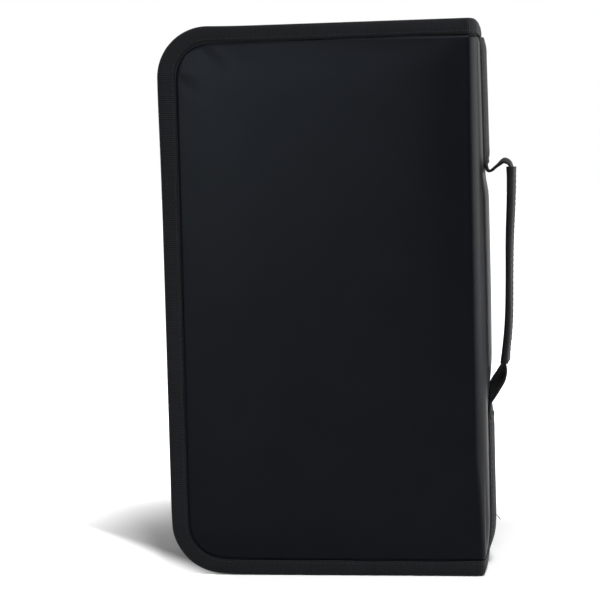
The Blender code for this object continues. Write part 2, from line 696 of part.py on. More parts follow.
def page_outline(inset, share):
    """Half of a page's outline as (x, z) pairs of lower and upper points, from spine to free edge.

    All pages are equally wide, so a page further up the stack reaches less far: it loses what the climb takes.
    """
    climb = share * (PAGE_THICKNESS - BOUND_THICKNESS)
    left = PAGE_LEFT + inset + math.hypot(FAN_RUN, climb) - FAN_RUN
    low, high = PAGE_INSET + inset, CASE_HEIGHT - PAGE_INSET - inset
    start = PAGE_RIGHT - BOUND_MARGIN
    xs = [PAGE_RIGHT - inset, start] + [start - FAN_RUN * k / 6 for k in range(1, 7)]
    pairs = [(x, low, high) for x in xs]
    for k in range(5):
        angle = math.radians(90.0 * k / 4)
        x = left + PAGE_CORNER * (1 - math.sin(angle))
        rise = PAGE_CORNER * (1 - math.cos(angle))
        pairs.append((x, low + rise, high - rise))
    return pairs


def disc_sleeves(materials):
    """All pages as one solid: bound margin, fanned root and stepped leaf edges."""
    shape = bmesh.new()
    rings = []
    for k in range(2 * LEAVES):
        share = (k // 2 + (k % 2)) / LEAVES
        inset = 0.0 if (k // 2) % 2 == 0 else LEAF_STEP
        pairs = page_outline(inset, share)
        ring = [(x, PAGE_BACK - share * stack_thickness(x), low) for x, low, high in pairs]
        ring += [(x, PAGE_BACK - share * stack_thickness(x), high) for x, low, high in reversed(pairs)]
        rings.append([shape.verts.new(point) for point in ring])
    count = len(rings[0])
    for first, second in zip(rings, rings[1:]):
        for k in range(count):
            shape.faces.new((first[k], first[(k + 1) % count], second[(k + 1) % count], second[k]))
    for ring in (rings[0], rings[-1]):
        for k in range(count // 2 - 1):
            shape.faces.new((ring[k], ring[k + 1], ring[count - 2 - k], ring[count - 1 - k]))
    return finish_object("disc_sleeves", shape, "sleeve", materials)


def rivet_heights():
    first = PAGE_INSET + RIVET_END_MARGIN
    last = CASE_HEIGHT - first
    return [first + (last - first) * k / (RIVET_COUNT - 1) for k in range(RIVET_COUNT)]


def clamp_strip(materials):
    low = (CLAMP_X - CLAMP_WIDTH / 2, CLAMP_BACK - CLAMP_THICKNESS, PAGE_INSET + CLAMP_END)
    high = (CLAMP_X + CLAMP_WIDTH / 2, CLAMP_BACK, CASE_HEIGHT - PAGE_INSET - CLAMP_END)
    return finish_object("sleeve_clamp_strip", box(low, high), "clamp", materials, smooth=False)


def rivet(name, z, materials):
    """A shank through strip, pages and lining down to the board, with a domed head on the strip."""
    seat = CLAMP_BACK - CLAMP_THICKNESS - SEAT_GAP
    end = HALF_DEPTH - BOARD_INNER - SEAT_GAP
    profile = [(0.6 * RIVET_HEAD, seat - RIVET_HEAD_HEIGHT), (0.9 * RIVET_HEAD, seat - 0.6 * RIVET_HEAD_HEIGHT),
               (RIVET_HEAD, seat), (RIVET_SHANK, seat), (RIVET_SHANK, end)]
    sides = 12
    rings = []
    for radius, y in profile:
        rings.append([(CLAMP_X + radius * math.cos(2 * math.pi * k / sides), y,
                       z + radius * math.sin(2 * math.pi * k / sides)) for k in range(sides)])
    return finish_object(name, loft(rings), "clamp", materials)


def make_sleeves(lining, materials):
    sleeves = disc_sleeves(materials)
    strip = clamp_strip(materials)
    rivets = []
    for number, z in enumerate(rivet_heights(), start=1):
        rivets.append(rivet("sleeve_rivet_%d" % number, z, materials))
        hole = round_bar((CLAMP_X, CLAMP_BACK - 2 * CLAMP_THICKNESS, z), (0, 1, 0),
                         HALF_DEPTH - BOARD_INNER - CLAMP_BACK + 2 * CLAMP_THICKNESS, RIVET_HOLE, 12)
        helper = finish_object("rivet_hole_%d" % number, hole, "clamp", materials)
        for holed in (sleeves, strip, lining):
            combine(holed, "DIFFERENCE", helper)
    return [sleeves, strip] + rivets


# The two hinges are empties on the folds. What swings on them is parented to them.

def hinge_empty(name, side):
    edge = FOLD_RADIUS * math.sin(math.radians(FOLD_SPLIT))
    rise = FOLD_RADIUS * math.cos(math.radians(FOLD_SPLIT))
    made = bpy.data.objects.new(name, None)
    made.location = ((FOLD_X + edge) * MM, side * (HALF_DEPTH - FOLD_RADIUS + rise) * MM, 0.0)
    bpy.context.collection.objects.link(made)
    return made


def hang_on(pieces, carrier):
    bpy.context.view_layer.update()
    for piece in pieces:
        piece.parent = carrier
        piece.matrix_parent_inverse = carrier.matrix_world.inverted()


def main():
    for old in list(bpy.data.objects):
        bpy.data.objects.remove(old, do_unlink=True)
    materials = make_materials()
    front = make_cover(FRONT, "front", materials)
    back = make_cover(BACK, "back", materials)
    make_sleeves(back[2], materials)
    spine = [
        spine_panel(materials),
        spine_plate("spine_board", FLANGE_OUTER, BOARD_INNER, "board", materials),
        spine_plate("spine_lining", LINING_OUTER, LINING_INNER, "lining", materials),
        spine_binding("spine_binding_top", True, materials),
        spine_binding("spine_binding_bottom", False, materials),
        handle_strap(materials),
        handle_grip(materials),
    ]
    zip_slider(materials)
    zip_pull(materials)

    spine_hinge = hinge_empty("spine_hinge", BACK)
    front_hinge = hinge_empty("front_cover_hinge", FRONT)
    hang_on(spine + [front_hinge], spine_hinge)
    hang_on(front, front_hinge)


main()
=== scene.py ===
"""The looks of a zip-around wallet for discs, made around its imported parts.

Every piece is made in metres, in the place of the part that it dresses. A spot on the outer cloth is
given by how far it is across the cloth from the free edge, how far up, and how deep below the face:
the cloth lies flat over a cover, turns round the fold and ends at the middle of the spine.
"""

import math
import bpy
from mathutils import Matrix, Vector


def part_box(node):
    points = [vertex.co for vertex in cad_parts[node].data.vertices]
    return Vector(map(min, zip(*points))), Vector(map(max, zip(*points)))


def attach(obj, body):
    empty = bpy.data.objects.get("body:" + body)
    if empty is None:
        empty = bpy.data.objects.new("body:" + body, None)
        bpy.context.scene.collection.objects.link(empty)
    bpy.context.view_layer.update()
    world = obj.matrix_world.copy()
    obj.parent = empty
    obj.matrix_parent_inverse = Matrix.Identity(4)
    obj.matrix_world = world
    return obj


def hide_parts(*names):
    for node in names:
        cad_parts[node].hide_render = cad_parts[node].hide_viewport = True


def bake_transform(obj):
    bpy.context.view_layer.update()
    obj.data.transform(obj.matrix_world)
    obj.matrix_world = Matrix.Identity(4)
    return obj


bl_info = {
    "name": "Disc Wallet",
    "version": (1, 0, 0),
    "blender": (4, 5, 0),
    "location": "View3D > Sidebar > Wallet",
    "description": "Makes the cloth, zip, handle and sleeves of a zip-around wallet for discs",
    "category": "Object",
}

import bmesh
import bpy
import numpy as np
from bpy.props import FloatProperty, FloatVectorProperty, IntProperty, PointerProperty
from mathutils import Euler, Matrix, Vector

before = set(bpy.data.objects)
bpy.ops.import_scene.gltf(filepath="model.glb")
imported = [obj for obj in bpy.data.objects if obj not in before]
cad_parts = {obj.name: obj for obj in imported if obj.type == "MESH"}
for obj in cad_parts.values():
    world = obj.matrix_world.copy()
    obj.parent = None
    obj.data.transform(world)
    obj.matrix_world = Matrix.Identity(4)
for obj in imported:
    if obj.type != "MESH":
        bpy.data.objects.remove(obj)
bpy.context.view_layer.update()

FRONT, BACK = -1, 1
PREFIX = {FRONT: "front", BACK: "back"}
COVER_BODY = {FRONT: "front_cover", BACK: "back_cover"}

# The closed case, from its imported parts
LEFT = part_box("front_binding")[0].x
HALF_DEPTH = -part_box("front_binding")[0].y
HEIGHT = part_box("front_binding")[1].z
SPINE_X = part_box("spine_binding_top")[1].x
WALL_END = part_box("front_gusset")[1].x
CORNER_RADIUS = 0.026
FOLD_RADIUS = 0.005
FOLD_X = SPINE_X - FOLD_RADIUS
FLAT_ACROSS = FOLD_X - LEFT
FOLD_ARC = FOLD_RADIUS * math.pi / 2
SPINE_FLAT = HALF_DEPTH - FOLD_RADIUS
MIDDLE_ACROSS = FLAT_ACROSS + FOLD_ARC + HALF_DEPTH - FOLD_RADIUS

# The rim, counted from the middle of the spine's bottom end, and where walls and zip run along it
RIM_STRAIGHT = MIDDLE_ACROSS - CORNER_RADIUS
RIM_ARC = CORNER_RADIUS * math.pi / 2
RIM_LENGTH = 2 * (MIDDLE_ACROSS - CORNER_RADIUS) + math.pi * CORNER_RADIUS + HEIGHT - 2 * CORNER_RADIUS
WALL_FIRST = MIDDLE_ACROSS - (WALL_END - LEFT)
WALL_LAST = RIM_LENGTH - WALL_FIRST

# Depths below the face of a cover, and insets from its outline
SKIN_INNER = 0.0017
FLANGE_DEPTH = 0.0020
BINDING_DEPTH = 0.0038
TAPE_CLOTH = 0.0007
TAPE_STEP = 0.0016
TAPE_PULL = 0.00022
TAPE_STATIONS = (0.0066, 0.0052, 0.0036, 0.0022)
STITCH_INSET = TAPE_STATIONS[0]
PUCKER = 0.00012
PUCKER_PITCH = 0.0034
WALL_INSET = 0.0085
WALL_CLOTH = 0.0008
WALL_START = 0.0011
WALL_EDGE = HALF_DEPTH - 0.008
WALL_DEPTHS = (0.0095, 0.014, 0.0185, 0.0225, WALL_EDGE - 0.0035)
WALL_FOOT = 0.006
ROW_TIP = HALF_DEPTH - 0.0008
ROW_WIDTH = 0.0032
ROW_HEIGHT = 0.0020
ROW_INSET = 0.0083
ROW_START = 0.0049
ROW_END = 0.0008
FRONT_ROW_SHORTER = 0.0220
TAPE_INSET = 0.0096
ZIP_TAPE_CLOTH = 0.0006
ZIP_TAPE_WIDTH = 0.0119
ZIP_TAPE_SEAM = 0.008
BOARD_SPOT = 0.0096
GUIDE_STEP = 0.002

# Spine and handle
STRAP_WIDTH = 0.025
STRAP_THICKNESS = 0.0014
STRAP_GAP = 0.0003
GRIP_WIDTH = 0.028
GRIP_WALL = 0.0008
GRIP_TOP = 0.2135
GRIP_LENGTH = 0.104
GRIP_END = GRIP_TOP - GRIP_LENGTH
STRAP_LEAVES = 0.2112
STRAP_RETURNS = 0.092
STRAP_MARGIN = 0.0006
STRAP_DRIFT = 0.0004
HANDLE_REACH = 0.0177
GRIP_TURN = math.radians(2.3)
RETURN_TURN = math.radians(13.0)
HUMP_RISE = 0.0064
BEND_RADIUS = 0.0016
LANDING_RUN = 0.008
STRAP_RIDGE = 0.0014
STRAP_EDGE_DROP = 0.0009
FREE_CROWN = 0.0022
END_DRAW = 0.0024
END_SWELL = 0.0014
END_DRAW_RUN = 0.012
FOLD_DRAW = 0.6
FOLD_DRAW_START = 0.3
CORNER_SLUMP = 0.0011

# How far the grip's middle is drawn to the spine, at shares of its length from the top
GRIP_BOW = (
    (0.0, 0.16, 0.26, 0.37, 0.52, 0.67, 0.77, 0.85, 0.90, 0.95, 1.0),
    (0.0001, 0.0004, 0.0010, 0.0016, 0.0019, 0.0022, 0.0025, 0.0031, 0.0037, 0.0044, 0.0051),
)

# How far the padding lifts the spine's cloth beside the strap, at heights above the floor
SPINE_LIFT = (
    (-0.05, 0.006, 0.010, 0.016, 0.023, 0.05, 0.092, 0.145, 0.21, 0.25, 0.27, 0.282, 0.34),
    (0.0, 0.0, 0.0003, 0.0013, 0.0019, 0.0018, 0.0016, 0.0018, 0.0014, 0.0009, 0.0006, 0.0004, 0.0),
)


def smoothstep(t):
    t = min(1.0, max(0.0, t))
    return t * t * (3 - 2 * t)


def evenly(first, last, count):
    """Places at even steps, with both ends."""
    return [first + (last - first) * k / count for k in range(count + 1)]


def softened(table, place, spread):
    """What the table says there, averaged with its surroundings so that it has no corners."""
    return float(sum(np.interp(place + k * spread, *table) for k in range(-2, 3)) / 5)


def wrap(side, across, up, depth):
    """The point of a spot on the outer cloth: over the cover, round the fold, along the spine."""
    across, up = corner_slump(across, up)
    if across <= FLAT_ACROSS:
        return Vector((LEFT + across, side * (HALF_DEPTH - depth), up))
    angle = (across - FLAT_ACROSS) / FOLD_RADIUS
    if angle <= math.pi / 2:
        reach = FOLD_RADIUS * fold_reach(angle, up) - depth
        drawn = end_draw(up) * FOLD_DRAW * smoothstep(2 * angle / math.pi - FOLD_DRAW_START)
        y = side * (SPINE_FLAT + reach * math.cos(angle))
        return Vector((FOLD_X + reach * math.sin(angle) - drawn, y, up))
    fold_share = FOLD_DRAW * smoothstep(1 - FOLD_DRAW_START)
    share = fold_share + (1 - fold_share) * smoothstep(1 - (MIDDLE_ACROSS - across) / SPINE_FLAT)
    return Vector((SPINE_X - depth - end_draw(up) * share, side * (MIDDLE_ACROSS - across), up))


def fold_reach(angle, up):
    """The fold is flatter than a quarter circle, and squarer at its foot, where the cloth is less taut."""
    power = 1.3 + 1.3 * smoothstep((0.065 - up) / 0.05)
    along, across = math.cos(angle), math.sin(angle)
    return (max(along, 0.0) ** power + max(across, 0.0) ** power) ** (-1 / power)


def end_draw(up):
    """How far the spine's two ends are drawn in."""
    reach = max(0.0, 1 - min(up, HEIGHT - up) / END_DRAW_RUN)
    return END_DRAW * (1 - math.sqrt(max(0.0, 1 - reach ** 2)))


def corner_slump(across, up):
    """The lower free corner is pressed rounder by the weight on it."""
    inwards = CORNER_SLUMP * math.exp(-((across - 0.004) ** 2 + (up - 0.012) ** 2) / 0.013 ** 2)
    upwards = 1.3 * CORNER_SLUMP * math.exp(-((across - 0.016) ** 2 + (up - 0.004) ** 2) / 0.017 ** 2)
    return across + inwards, up + upwards


def into_corner(across, up):
    """Moves a spot of a case with square corners into the case with round ones."""
    low = min(up, HEIGHT - up)
    inset = min(across, low)
    radius, run = CORNER_RADIUS - inset, max(across, low) - inset
    if radius <= 0 or run >= radius:
        return across, up
    angle = math.pi / 4 * (1 - run / radius)
    near, far = CORNER_RADIUS - radius * math.cos(angle), CORNER_RADIUS - radius * math.sin(angle)
    across, low = (near, far) if across <= low else (far, near)
    return across, low if up < HEIGHT / 2 else HEIGHT - low


def rim_spot(along, inset):
    """Across and up of a spot on the rim."""
    if along > RIM_LENGTH / 2:
        across, up = rim_spot(RIM_LENGTH - along, inset)
        return across, HEIGHT - up
    if along <= RIM_STRAIGHT:
        return MIDDLE_ACROSS - along, inset
    if along <= RIM_STRAIGHT + RIM_ARC:
        angle = (along - RIM_STRAIGHT) / CORNER_RADIUS
        reach = CORNER_RADIUS - inset
        return CORNER_RADIUS - reach * math.sin(angle), CORNER_RADIUS - reach * math.cos(angle)
    return inset, CORNER_RADIUS + along - RIM_STRAIGHT - RIM_ARC


def rim(side, along, inset, depth):
    return wrap(side, *rim_spot(along, inset), depth)


def rim_steps():
    """Even steps along the rim, with more of them round the folds."""
    spots = evenly(0.0, RIM_LENGTH, round(RIM_LENGTH / TAPE_STEP))
    for start in (SPINE_FLAT, RIM_LENGTH - SPINE_FLAT - FOLD_ARC):
        spots += evenly(start, start + FOLD_ARC, 8)
    kept = []
    for spot in sorted(spots):
        if not kept or spot - kept[-1] > 0.0003:
            kept.append(spot)
    return kept


def padding_bulge(y, z):
    """How far the spine's cloth stands out, y from the spine's middle and on round the fold."""
    lift = softened(SPINE_LIFT, z, 0.0025) * smoothstep((SPINE_FLAT + 0.004 - abs(y)) / 0.011)
    free = smoothstep((STRAP_LEAVES + 0.002 - z) / 0.016) * smoothstep((z - STRAP_RETURNS + 0.008) / 0.03)
    crown = FREE_CROWN * free * max(0.0, 1 - (y / SPINE_FLAT) ** 2)
    sewn = strap_sewn(z) * smoothstep((z - 0.006) / 0.014)
    return lift + STRAP_RIDGE * sewn * max(0.0, 1 - (2 * y / STRAP_WIDTH) ** 2) + crown


def strap_sewn(z):
    """1 where the strap is sewn to the spine, 0 where it is free."""
    return smoothstep((z - STRAP_LEAVES - 0.001) / 0.008) + smoothstep((STRAP_RETURNS - 0.002 - z) / 0.012)


# Meshes

def linked(name, data):
    made = bpy.data.objects.new(name, data)
    bpy.context.scene.collection.objects.link(made)
    return made


def from_faces(name, points, faces, uvs):
    mesh = bpy.data.meshes.new(name)
    mesh.from_pydata([tuple(p) for p in points], [], faces)
    layer = mesh.uv_layers.new(name="Lie")
    layer.data.foreach_set("uv", np.array(uvs, np.float32).ravel())
    shape = bmesh.new()
    shape.from_mesh(mesh)
    bmesh.ops.recalc_face_normals(shape, faces=shape.faces)
    shape.to_mesh(mesh)
    shape.free()
    mesh.shade_smooth()
    mesh.set_sharp_from_angle(angle=math.radians(65))
    return linked(name, mesh)


def running(points):
    lengths = [0.0]
    for a, b in zip(points, points[1:]):
        lengths.append(lengths[-1] + (Vector(b) - Vector(a)).length)
    return lengths


def tube(name, rows, alongs, around=None, ring=False):
    """A closed skin over rows of points, each a closed section. Its ends are closed, or meet in a ring."""
    count = len(rows[0])
    middle = rows[len(rows) // 2]
    around = around or running([*middle, middle[0]])
    faces, uvs = [], []
    for i in range(len(rows) if ring else len(rows) - 1):
        this, following = i * count, (i + 1) % len(rows) * count
        for j in range(count):
            n = (j + 1) % count
            faces.append((this + j, this + n, following + n, following + j))
            uvs += [(alongs[i], around[j]), (alongs[i], around[j + 1]),
                    (alongs[i + 1], around[j + 1]), (alongs[i + 1], around[j])]
    if not ring:
        last = (len(rows) - 1) * count
        for along, start in ((alongs[0], 0), (alongs[-1], last)):
            faces.append(tuple(range(start, start + count)))
            uvs += [(along, around[j]) for j in range(count)]
    return from_faces(name, [p for row in rows for p in row], faces, uvs)


def slab(name, grid):
    """A closed piece between two faces. A spot of the grid is its front point, its back point and its lie."""
    rows, count = len(grid), len(grid[0])
    layer = rows * count
    fronts, backs, lies = zip(*(spot for row in grid for spot in row))
    faces = []
    for i in range(rows - 1):
        for j in range(count - 1):
            for a in (i * count + j, i * count + j + layer):
                faces.append((a, a + count, a + count + 1, a + 1))
    for i in range(rows - 1):
        for a in (i * count, i * count + count - 1):
            faces.append((a, a + count, a + count + layer, a + layer))
    for j in range(count - 1):
        for a in (j, (rows - 1) * count + j):
            faces.append((a, a + 1, a + 1 + layer, a + layer))
    return from_faces(name, fronts + backs, faces, [lies[v % layer] for face in faces for v in face])


def copy_of_part(node, bevel):
    """A part's own shape with its points merged and its edges rounded."""
    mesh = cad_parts[node].data.copy()
    made = linked(node + "_finished", mesh)
    shape = bmesh.new()
    shape.from_mesh(mesh)
    bmesh.ops.remove_doubles(shape, verts=shape.verts, dist=0.00001)
    bmesh.ops.dissolve_limit(shape, angle_limit=math.radians(2), verts=shape.verts, edges=shape.edges)
    shape.to_mesh(mesh)
    shape.free()
    step = made.modifiers.new("Edges", "BEVEL")
    step.width, step.segments = bevel, 2
    step.limit_method, step.angle_limit = "ANGLE", math.radians(30)
    step.harden_normals = True
    mesh.shade_smooth()
    bake_modifiers(made)
    return made


def bake_modifiers(made):
    mesh = bpy.data.meshes.new_from_object(made.evaluated_get(bpy.context.evaluated_depsgraph_get()))
    old = made.data
    made.modifiers.clear()
    made.data = mesh
    bpy.data.meshes.remove(old)
    mesh.name = made.name


def subdivide(made):
    step = made.modifiers.new("Smooth", "SUBSURF")
    step.levels = step.render_levels = 1
    step.uv_smooth = "PRESERVE_BOUNDARIES"
    bake_modifiers(made)
    made.data.shade_smooth()


def finish_piece(made, material, body=None, replaces=()):
    made.data.materials.clear()
    made.data.materials.append(material)
    if replaces:
        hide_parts(*replaces)
    if body:
        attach(made, body)
    return made


# Materials

class NodeMaker:
    """Makes the nodes of a tree. An input is set to a value, or linked where it is given an output."""

    def __init__(self, tree):
        self.tree = tree

    def feed(self, socket, value):
        if isinstance(value, bpy.types.NodeSocket):
            self.tree.links.new(value, socket)
        else:
            socket.default_value = value

    def node(self, kind, inputs=None, **settings):
        made = self.tree.nodes.new(kind)
        for key, value in settings.items():
            setattr(made, key, value)
        for key, value in (inputs or {}).items():
            self.feed(made.inputs[key], value)
        return made

    def math(self, operation, first, second=0.0):
        return self.node("ShaderNodeMath", {0: first, 1: second}, operation=operation).outputs[0]

    def ramp(self, value, span, results=(0.0, 1.0), kind="LINEAR"):
        """Goes from one result to the other while the value crosses its span."""
        inputs = {"Value": value, "From Min": span[0], "From Max": span[1],
                  "To Min": results[0], "To Max": results[1]}
        return self.node("ShaderNodeMapRange", inputs, interpolation_type=kind).outputs["Result"]


class Finish(NodeMaker):
    """A principled material under construction. Lengths in its patterns are in metres."""

    def __init__(self, name, colour, roughness, **sockets):
        self.material = bpy.data.materials.new(name)
        self.material.use_nodes = True
        super().__init__(self.material.node_tree)
        self.shader = self.tree.nodes["Principled BSDF"]
        self.colour = (*colour, 1.0)
        for socket, value in {"Base Color": self.colour, "Roughness": roughness, **sockets}.items():
            self.set(socket.replace("_", " "), value)

    def set(self, socket, value):
        self.feed(self.shader.inputs[socket], value)

    def lie(self):
        """The map's two lengths: along the piece and across it."""
        lie = self.node("ShaderNodeUVMap", uv_map="Lie").outputs["UV"]
        split = self.node("ShaderNodeSeparateXYZ", {0: lie})
        return split.outputs["X"], split.outputs["Y"]

    def place(self):
        return self.node("ShaderNodeTexCoord").outputs["Object"]

    def wave(self, length, pitch):
        """Rises and falls between -1 and 1 once in every pitch."""
        return self.math("SINE", self.math("MULTIPLY", length, 2 * math.pi / pitch))

    def noise(self, size, detail=3.0, stretch=None):
        where = self.place()
        if stretch:
            where = self.node("ShaderNodeMapping", {"Vector": where, "Scale": stretch}).outputs["Vector"]
        inputs = {"Vector": where, "Scale": 1.0 / size, "Detail": detail}
        return self.node("ShaderNodeTexNoise", inputs).outputs["Fac"]

    def vary_colour(self, amount, dark, light):
        """Multiplies the colour between two shares by a value from 0 to 1."""
        share = self.ramp(amount, (0.25, 0.75), (dark, light))
        mix = self.node("ShaderNodeVectorMath", {0: self.colour[:3], "Scale": share}, operation="SCALE")
        self.set("Base Color", mix.outputs["Vector"])

    def mottle(self, size, detail, pattern, depth, dark, light):
        """Varies the colour by soft noise and, to some depth, by the cloth's own pattern."""
        amount = self.math("ADD", self.noise(size, detail), self.math("MULTIPLY", pattern, depth))
        self.vary_colour(amount, dark, light)

    def vary_roughness(self, amount, low, high):
        self.set("Roughness", self.ramp(amount, (0.0, 1.0), (low, high)))

    def bump(self, height, distance, strength=1.0):
        inputs = {"Strength": strength, "Distance": distance, "Height": height}
        before = self.shader.inputs["Normal"]
        if before.is_linked:
            inputs["Normal"] = before.links[0].from_socket
        self.set("Normal", self.node("ShaderNodeBump", inputs).outputs["Normal"])


def woven(name, colour, roughness, pitch, relief, sheen=0.02):
    """Plain-woven cloth: warp and weft pass over each other, with fine fibre on top."""
    finish = Finish(name, colour, roughness, Specular_IOR_Level=0.045, Sheen_Weight=sheen,
                    Sheen_Roughness=0.3)
    u, v = finish.lie()
    weave = finish.math("MULTIPLY", finish.wave(u, 2 * pitch), finish.wave(v, 2 * pitch))
    finish.mottle(0.03, 4.0, weave, 0.12, 0.88, 1.12)
    finish.bump(weave, relief)
    finish.bump(finish.noise(0.012, 5.0), 0.00012, 0.5)
    return finish.material


def ribbed(name, colour, roughness, pitch, relief, sheen=0.05):
    """Tape with ribs across it, as grosgrain and herringbone tapes have."""
    finish = Finish(name, colour, roughness, Specular_IOR_Level=0.08, Sheen_Weight=sheen, Sheen_Roughness=0.4)
    u, v = finish.lie()
    ribs = finish.wave(u, pitch)
    yarn = finish.wave(finish.math("ADD", v, finish.math("MULTIPLY", ribs, pitch / 6)), pitch * 0.45)
    height = finish.math("ADD", ribs, finish.math("MULTIPLY", yarn, 0.35))
    finish.mottle(0.02, 4.0, height, 0.06, 0.88, 1.14)
    finish.bump(height, relief)
    return finish.material


def webbing_cloth(name, colour, pitch, relief):
    """Belt webbing: slanted pairs of warp yarns between two flat edges."""
    finish = Finish(name, colour, 0.62, Specular_IOR_Level=0.10, Sheen_Weight=0.02, Sheen_Roughness=0.4)
    u, v = finish.lie()
    slant = finish.math("ADD", u, finish.math("MULTIPLY", finish.wave(v, pitch * 3), pitch * 0.35))
    height = finish.math("MULTIPLY", finish.wave(slant, pitch), finish.wave(v, pitch * 0.9))
    finish.mottle(0.015, 4.0, height, 0.14, 0.82, 1.2)
    finish.bump(height, relief)
    return finish.material


def thread_material(name, colour):
    finish = Finish(name, colour, 0.55, Specular_IOR_Level=0.15, Sheen_Weight=0.05, Sheen_Roughness=0.4)
    finish.vary_colour(finish.noise(0.0007, 2.0), 0.7, 1.3)
    return finish.material


def plastic_material(name, colour, roughness):
    finish = Finish(name, colour, roughness)
    finish.vary_roughness(finish.noise(0.004, 4.0), roughness - 0.08, roughness + 0.1)
    finish.bump(finish.noise(0.0012, 3.0), 0.00002, 0.4)
    return finish.material


def painted_metal(name, colour):
    finish = Finish(name, colour, 0.38, Metallic=0.55, Coat_Weight=0.25, Coat_Roughness=0.25)
    finish.vary_roughness(finish.noise(0.003, 5.0), 0.3, 0.5)
    finish.vary_colour(finish.noise(0.005, 4.0), 0.85, 1.2)
    finish.bump(finish.noise(0.0009, 3.0), 0.000015, 0.5)
    return finish.material


def board_material():
    finish = Finish("Grey board", (0.26, 0.23, 0.19), 0.92)
    finish.vary_colour(finish.noise(0.002, 6.0, (1.0, 1.0, 0.3)), 0.75, 1.2)
    finish.bump(finish.noise(0.0008, 4.0), 0.00006, 0.7)
    return finish.material


def film_material():
    """Clear film of the pockets over the grey page."""
    finish = Finish("Pocket film", (0.055, 0.056, 0.062), 0.24, Coat_Weight=0.3, Coat_Roughness=0.15)
    finish.bump(finish.noise(0.03, 3.0), 0.0006, 0.35)
    finish.vary_roughness(finish.noise(0.01, 4.0), 0.20, 0.32)
    return finish.material


def fleece_material():
    """Soft non-woven page cloth, point-bonded in a fine grid."""
    finish = Finish("Page cloth", (0.048, 0.048, 0.053), 0.8, Sheen_Weight=0.2, Sheen_Roughness=0.6)
    u, v = finish.lie()
    dots = finish.math("MULTIPLY", finish.wave(u, 0.0016), finish.wave(v, 0.0016))
    finish.mottle(0.006, 6.0, dots, 0.08, 0.8, 1.2)
    finish.bump(dots, 0.00006, 0.6)
    return finish.material


def make_materials(look):
    return {
        "cover": woven("Cover cloth", look.cover_colour, 0.37, 0.00042, 0.000014),
        "wall": woven("Wall cloth", look.cover_colour, 0.6, 0.00042, 0.00007),
        "lining": woven("Lining cloth", (0.020, 0.020, 0.023), 0.7, 0.0005, 0.00008, sheen=0.1),
        "binding": ribbed("Binding tape", look.binding_colour, 0.7, 0.0011, 0.00007),
        "zip_tape": ribbed("Zip tape", (0.013, 0.013, 0.016), 0.8, 0.0008, 0.0001, sheen=0.1),
        "webbing": webbing_cloth("Strap webbing", look.strap_colour, 0.0014, 0.00012),
        "grip": woven("Grip cloth", look.grip_colour, 0.55, 0.0006, 0.0001),
        "thread": thread_material("Sewing thread", (0.0085, 0.0085, 0.0105)),
        "coil": plastic_material("Zip coil", (0.011, 0.011, 0.013), 0.38),
        "slider": painted_metal("Black slider", (0.022, 0.022, 0.025)),
        "board": board_material(),
        "film": film_material(),
        "page": fleece_material(),
        "clamp": plastic_material("Clamp plastic", (0.014, 0.014, 0.016), 0.42),
    }


# What a user can set

def paint(name, description, default):
    return FloatVectorProperty(
        name=name, description=description, subtype="COLOR", min=0, max=1, default=default)


def length(name, description, default):
    return FloatProperty(name=name, description=description, unit="LENGTH", default=default)


class WalletLook(bpy.types.PropertyGroup):
    cover_colour: paint("Cover Colour", "Colour of the outer cloth", (0.0034, 0.0041, 0.0060))
    binding_colour: paint("Binding Colour", "Colour of the tape round the edges", (0.0060, 0.0062, 0.0078))
    strap_colour: paint("Strap Colour", "Colour of the webbing", (0.0060, 0.0060, 0.0075))
    grip_colour: paint("Grip Colour", "Colour of the sleeve round the strap", (0.0080, 0.0080, 0.0098))


class WalletSizes(bpy.types.PropertyGroup):
    binding_width: length("Binding Width", "Tape seen on the face of a cover", 0.008)
    swell: length("Swell", "The most that the padding may lift the cloth", 0.0010)
    padding_pressure: FloatProperty(
        name="Padding Pressure", description="How hard the padding pushes in the simulation", default=4.0)
    stitch_pitch: length("Stitch Pitch", "From one stitch to the next", 0.0030)
    stitch_length: length("Stitch Length", "Length of a stitch that shows", 0.0024)
    thread_radius: length("Thread Radius", "Half the thickness of the thread", 0.00018)
    coil_pitch: length("Coil Pitch", "From one turn of a zip row to the next", 0.0016)
    coil_wire: length("Coil Wire", "Half the thickness of the wire of a zip row", 0.00042)
    leaves: IntProperty(name="Leaves", description="Pages of sleeves", default=13, min=1, max=30)


class WalletStage(bpy.types.PropertyGroup):
    camera_place: FloatVectorProperty(
        name="Camera Place", description="Where the camera stands", subtype="TRANSLATION",
        default=(0.1025, -0.9465, 0.2158))
    camera_turn: FloatVectorProperty(
        name="Camera Turn", description="Yaw, pitch down and roll of the camera", subtype="EULER",
        default=(math.radians(7.69), math.radians(4.50), math.radians(-1.40)))
    lens: FloatProperty(name="Lens", description="Focal length in millimetres", default=105.7)
    camera_rise: FloatProperty(
        name="Camera Rise", description="Upward shift of the picture, in widths", default=0.010)
    key_power: FloatProperty(
        name="Key Power", description="Power of the lamp above the camera", default=28.5)
    side_power: FloatProperty(
        name="Side Power", description="Power of the panel that the fold mirrors", default=34.0)
    fill_power: FloatProperty(
        name="Fill Power", description="Power of the lamp on the free edge's side", default=12.0)
    room_strength: FloatProperty(
        name="Room Strength", description="Brightness of the room that the case mirrors", default=0.10)
    world_strength: FloatProperty(
        name="World Strength", description="Even light from all round", default=0.26)


MATERIALS = {}


# Cover skins

SKIN_PROFILE = (
    (0.0009, 0.0082, 0.0088, 0.0093, 0.0100, 0.0112, 0.0135, 0.0190),
    (0.0010, 0.0010, 0.0009, 0.0003, -0.0001, -0.0003, -0.0005, -0.0006),
)


